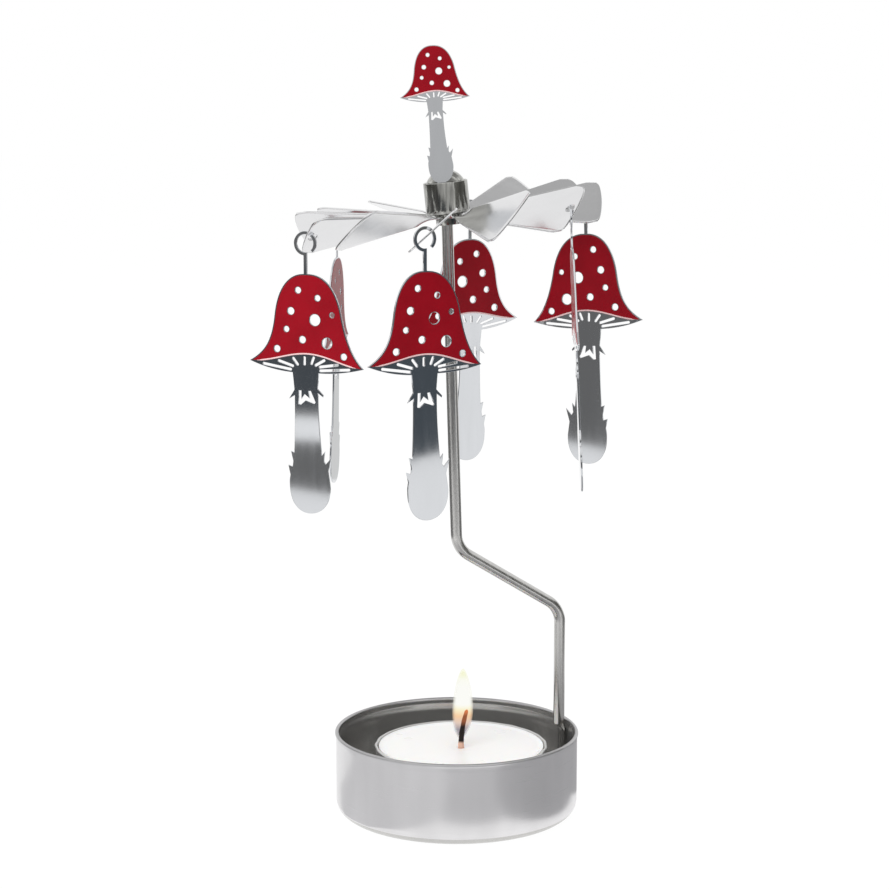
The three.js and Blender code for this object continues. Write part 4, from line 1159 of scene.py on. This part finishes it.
def tealight_place(scene):
    """Where the tealight's own frame lies: on the cup's floor, a little aside of its middle."""
    sizes = scene.holder_tealight
    return Matrix.Translation((sizes.right, -sizes.front, scene.holder_cup.wall + SEAT_GAP))


def wax_heights(sizes):
    """Floor and top of the wax above the tealight's own bottom."""
    floor = sizes.wall + SEAT_GAP
    return floor, floor + sizes.wax_depth


class HOLDER_OT_tealight_cup(bpy.types.Operator):
    """Makes the thin aluminium cup of the tealight"""
    bl_idname = "candle_holder.tealight_cup"
    bl_label = "Tealight cup"

    def execute(self, context):
        sizes = context.scene.holder_tealight
        radius, wall, corner = sizes.radius, sizes.wall, sizes.corner
        shoulder = sizes.height - sizes.rim
        profile = path_through(
            [(0, 0), (radius - corner, 0)],
            arc((radius - corner, corner), corner, -90, 0, 6),
            np.stack([np.full(8, radius), np.linspace(corner, shoulder, 8)], axis=1),
            arc((radius, shoulder + sizes.rim / 2), sizes.rim, -30, 150, 10),
            [(radius - wall, shoulder), (radius - wall, corner), (radius - corner, wall),
             (0, wall)])
        rng = np.random.default_rng(4)
        waves, phases = rng.integers(3, 26, 7), rng.uniform(0, 2 * np.pi, 7)

        def dents(out, height, turn):
            """Small waves round the rim, as on thin foil, that fade towards the bottom."""
            round_wave = np.sin(waves * turn[..., None] + phases).mean(axis=-1)
            high = smooth(height, 0.4 * sizes.height, sizes.height)
            return np.where(out > 0.8 * radius, DENT * round_wave * high, 0)

        piece = turned("foil_cup", profile, 180, tealight_place(context.scene), 40, dents)
        finish = grained("thin_foil", sizes.foil, FOIL, {"Metallic": 0.8})
        seat(piece, "tealight", "aluminium", finish, "tealight_cup")
        for slot in frame["nodes"]["wick_sustainer"].material_slots:
            slot.material = finish
        return {"FINISHED"}


class HOLDER_OT_wax(bpy.types.Operator):
    """Makes the wax with its melt dish round the wick"""
    bl_idname = "candle_holder.wax"
    bl_label = "Wax"

    def execute(self, context):
        sizes = context.scene.holder_tealight
        floor, top = wax_heights(sizes)
        radius = sizes.radius - sizes.wall - SEAT_GAP
        bore = sizes.wick + WICK_AIR
        foot = (bore, floor + WAX_UNDER)
        out = np.linspace(radius, bore, 40)
        dish = sizes.dish * (1 - smooth(out, 0.15 * radius, 0.85 * radius))
        creep = sizes.creep * smooth(out, radius * 0.955, radius)
        sink = WICK_SINK * smooth(-out, -4 * bore, -bore)
        profile = path_through(
            [foot, (radius - sizes.corner, foot[1]), (radius, floor + WAX_UNDER_EDGE)],
            np.stack([out, top - dish + creep - sink], axis=1), [foot])
        piece = turned("wax_disc", profile, 144, tealight_place(context.scene), 60)
        # The wax's finish has a faint painted glow, standing in for the flame's light on it
        finish = grained("candle_wax", sizes.wax, WAX, WAX_LIGHT_AND_PAINTED_GLOW, own_noise=WAX_GRAIN)
        seat(piece, "tealight", "wax", finish, "wax")
        return {"FINISHED"}


class HOLDER_OT_wick(bpy.types.Operator):
    """Makes the burnt wick, which curls over above the wax"""
    bl_idname = "candle_holder.wick"
    bl_label = "Wick"

    def execute(self, context):
        sizes = context.scene.holder_tealight
        floor, top = wax_heights(sizes)
        free = top - sizes.dish
        low = np.linspace(floor + SEAT_GAP, free, 12)
        high = np.linspace(0, 1, 40)[1:]
        x = np.concatenate([0 * low, sizes.wick_reach * high ** 2])
        z = np.concatenate([low, free + sizes.wick_height * high])
        centres = np.stack([x, 0 * x, z], axis=1)
        taper = sizes.wick * (1 - TAPER * np.clip((z - free) / sizes.wick_height, 0, 1))
        knots = 1 - KNOT * np.abs(np.sin(z / KNOT_PITCH))
        ends = np.sqrt(np.clip(np.minimum(z - z[0], z[-1] - z) / WICK_END, 0, 1))
        width = (taper * knots * ends)[:, None]
        across = width * np.cross((0, 1, 0), unit(np.gradient(centres, axis=0)))
        place = tealight_place(context.scene)
        piece = swept("wick_cord", centres, across, width * (0, WICK_FLAT, 0), 14, place, 80)
        base = place.translation.z
        seat(piece, "tealight", "wick", burnt_cotton(sizes, base + free, base + z[-1]), "wick")
        return {"FINISHED"}


class HOLDER_OT_flame(bpy.types.Operator):
    """Makes the flame over the wick as clear shells inside each other"""
    bl_idname = "candle_holder.flame"
    bl_label = "Flame"

    def execute(self, context):
        sizes = context.scene.holder_flame
        finish = burning_gas(sizes)
        rise = np.linspace(0, 1, 60)
        swell = np.clip(np.sin(np.pi * rise ** 0.8), 0, 1) ** 0.6
        across = sizes.across - sizes.sway * (1 - rise) ** 4
        for number, shell in enumerate(np.linspace(1, INNERMOST, FLAME_SHELLS)):
            drawn_in = (1 - BOTH_INSETS * (1 - shell)) * rise + FOOT_INSET * (1 - shell)
            height = sizes.low + (sizes.high - sizes.low) * drawn_in
            half = (swell * shell / 2)[:, None]
            piece = swept("flame_%d" % number,
                          np.stack([across, 0 * rise + sizes.behind, height], axis=1),
                          half * (sizes.width, 0, 0), half * (0, sizes.depth, 0), 40, sharp=180)
            depth = piece.data.attributes.new("depth", "FLOAT", "POINT")
            inwards = np.full(len(piece.data.vertices), number / (FLAME_SHELLS - 1))
            depth.data.foreach_set("value", inwards)
            seat(piece, "tealight", "wick", finish)
        return {"FINISHED"}


# Studio

# Boards that only polished metal sees. A white table ends in front of the holder, and darker
# boards at the sides give the round metal its dark edges. A row has a linear tone, and in
# millimetres the height of a level board and its corners.
LEVEL_BOARDS = {
    "table_front": (0.17, 1, [(-1600, -300), (-1600, -1600), (260, -1600), (260, -300)]),
    "table_right": ((0.08, 0.094, 0.108), 1, [(260, -300), (260, -1600), (1600, -1600),
                                              (1600, -300)]),
    "table_left": ((0.08, 0.09, 0.1), 2, [(-497, -437), (-1124, -993), (-200, -1500),
                                          (-120, -680)]),
    "sheet_left": (1.15, 3, [(-382, -388), (-436, -439), (-475, -420), (-421, -369)]),
    "sheet_right": (1.0, 3, [(585, -296), (1500, -760), (1500, -296)]),
    "side_left": (0.2, 1, [(-1600, -200), (-160, -120), (-160, 600), (-1600, 600)]),
    "side_right": (0.22, 1, [(150, -110), (1600, -110), (1600, 350), (150, 350)]),
    "back_right": ((0.75, 0.75, 0.74), 1, [(90, 380), (600, 380), (600, 1100), (90, 1100)]),
    "near_left": ((0.73, 0.73, 0.74), 2, [(-7, -37), (-37, 8), (-150, 8), (-8, -150)]),
    "near_front": ((0.56, 0.56, 0.57), 2, [(-7, -37), (-8, -150), (75, -130), (18, -32)]),
    "near_right": ((0.42, 0.42, 0.43), 2, [(18, -32), (75, -130), (150, 0), (60, 110), (15, 29),
                                           (33, 0)]),
    "overhead": (0.5, 1340, [(-250, -300), (-250, 1300), (1100, 1300), (1100, -300)]),
}
# Upright boards: a linear tone, and in millimetres the height and both ends of the foot
WALLS = {
    "wall_front": (0.6, 330, (-1600, -1600), (1600, -1600)),
    "wall_left": ((0.14, 0.14, 0.13), 400, (-1600, -1600), (-1600, 1600)),
    "wall_right": ((0.16, 0.16, 0.15), 800, (1600, 900), (1600, -1600)),
}
# Side and place of each lamp, and the point that both face, in metres
LAMPS = {"key": (0.3, (-0.17, -0.19, 0.16)), "ceiling": (1.2, (0, -0.1, 1.1))}
LAMP_TARGET = (0, 0, 0.08)
FLOOR_RINGS, FLOOR_BELOW = (0, 0.3, 1.0, 4.0), 0.01 * MM
# How much of the floor that the eye sees is light of its own, and its strength
FLOOR_GLOW, FLOOR_LIGHT = 0.94, 1.03
SENSOR_WIDTH = 36


def white_for_the_eye(nodes, plain, bright):
    """Shows the bright shader where the camera, or a mirror or glass, looks straight at a
    surface, and the plain one to all other light."""
    rays = nodes.add("LightPath", {}).node.outputs
    seen = nodes.add("Math", {0: rays["Is Camera Ray"], 1: rays["Is Glossy Ray"]},
                     operation="MAXIMUM")
    seen = nodes.add("Math", {0: seen, 1: rays["Is Transmission Ray"]}, operation="MAXIMUM")
    nodes.show(nodes.add("MixShader", {"Fac": seen, 1: plain, 2: bright}))


def white_world(scene, strength):
    """Even light from all round, and a white background."""
    scene.world = bpy.data.worlds.new("studio")
    scene.world.use_nodes = True
    nodes = Nodes(scene.world.node_tree, "World")
    white = {"Color": (1, 1, 1, 1)}
    white_for_the_eye(nodes, nodes.add("Background", {"Strength": strength, **white}),
                      nodes.add("Background", white))


def floor_finish():
    """White board that keeps a faint shadow and shows white to the eye."""
    finish = Finish("white_board")
    tone = finish.ramp(finish.noise(60, 3), (NOISE_LOW, 0.93), (NOISE_HIGH, 0.97))
    plain = finish.add("BsdfPrincipled", {"Base Color": tone, "Roughness": 0.9})
    light = finish.add("Emission", {"Strength": FLOOR_LIGHT})
    seen = finish.add("MixShader", {"Fac": FLOOR_GLOW, 1: plain, 2: light})
    white_for_the_eye(finish, plain, seen)
    finish.material.cycles.emission_sampling = "NONE"
    return finish.material


def board(name, tone, corners):
    """A flat board with light of its own, seen by mirrors only."""
    finish = Finish("board_" + name)
    finish.show(finish.add("Emission", {"Color": (*np.broadcast_to(tone, 3), 1)}))
    finish.material.cycles.emission_sampling = "NONE"
    made = new_piece(name, np.array(corners) * MM, [range(len(corners))])
    made.data.materials.append(finish.material)
    for ray in ("camera", "diffuse", "shadow", "transmission", "volume_scatter"):
        setattr(made, "visible_" + ray, False)


def lamp(name, power, size, place):
    """A square soft lamp that faces the holder and that metal doesn't mirror."""
    light = bpy.data.lights.new(name, "AREA")
    light.energy = power
    light.shape = "SQUARE"
    light.size = size
    made = in_scene(name, light)
    made.location = place
    made.rotation_euler = (Vector(LAMP_TARGET) - made.location).to_track_quat("-Z", "Y").to_euler()
    made.visible_glossy = False


class HOLDER_OT_studio(bpy.types.Operator):
    """Makes the floor, the surroundings that metal mirrors, the lamps and the camera"""
    bl_idname = "candle_holder.studio"
    bl_label = "Studio"

    def execute(self, context):
        scene = context.scene
        settings = scene.holder_studio
        scene.view_settings.view_transform = "Standard"
        white_world(scene, settings.daylight)

        floor = turned("floor", np.array([(ring, -FLOOR_BELOW) for ring in FLOOR_RINGS]), 64)
        floor.data.materials.append(floor_finish())
        for name, (tone, height, corners) in LEVEL_BOARDS.items():
            board(name, tone, [(*corner, height) for corner in corners])
        for name, (tone, height, start, end) in WALLS.items():
            board(name, tone, [(*start, 0), (*start, height), (*end, height), (*end, 0)])
        for name, (size, place) in LAMPS.items():
            lamp(name, getattr(settings, name), size, place)

        data = bpy.data.cameras.new("camera")
        data.lens = settings.lens
        data.sensor_width = SENSOR_WIDTH
        camera = in_scene("camera", data)
        camera.location = (settings.across, -settings.distance, settings.height)
        camera.rotation_euler = (math.pi / 2 - settings.pitch, 0, 0)
        scene.camera = camera
        return {"FINISHED"}


# Add-on

STEPS = (HOLDER_OT_cup, HOLDER_OT_rod, HOLDER_OT_wheel, HOLDER_OT_hub_sleeve, HOLDER_OT_bearing_cap,
         HOLDER_OT_pendants, HOLDER_OT_top_toadstool, HOLDER_OT_tealight_cup, HOLDER_OT_wax,
         HOLDER_OT_wick, HOLDER_OT_flame, HOLDER_OT_studio)

SETTINGS = {
    "holder_cup": CupSizes,
    "holder_rod": RodSizes,
    "holder_wheel": WheelSizes,
    "holder_hub": HubSizes,
    "holder_toadstool": ToadstoolSizes,
    "holder_top": TopSizes,
    "holder_tealight": TealightSizes,
    "holder_flame": FlameSizes,
    "holder_studio": StudioSettings,
}


class HOLDER_PT_panel(bpy.types.Panel):
    """Lists the pieces of the candle holder and their sizes"""
    bl_idname = "HOLDER_PT_panel"
    bl_label = "Candle holder"
    bl_space_type = "VIEW_3D"
    bl_region_type = "UI"
    bl_category = "Candle holder"

    def draw(self, context):
        for step in STEPS:
            self.layout.operator(step.bl_idname)
        for name, group in SETTINGS.items():
            box = self.layout.box()
            box.label(text=group.__name__)
            for field in group.__annotations__:
                box.prop(getattr(context.scene, name), field)


def register():
    for group in SETTINGS.values():
        bpy.utils.register_class(group)
    for name, group in SETTINGS.items():
        setattr(bpy.types.Scene, name, PointerProperty(type=group))
    for step in STEPS:
        bpy.utils.register_class(step)
    bpy.utils.register_class(HOLDER_PT_panel)


def unregister():
    bpy.utils.unregister_class(HOLDER_PT_panel)
    for step in reversed(STEPS):
        bpy.utils.unregister_class(step)
    for name, group in SETTINGS.items():
        delattr(bpy.types.Scene, name)
        bpy.utils.unregister_class(group)


def main():
    register()
    for step in STEPS:
        family, name = step.bl_idname.split(".")
        getattr(getattr(bpy.ops, family), name)()


if __name__ == "__main__":
    main()
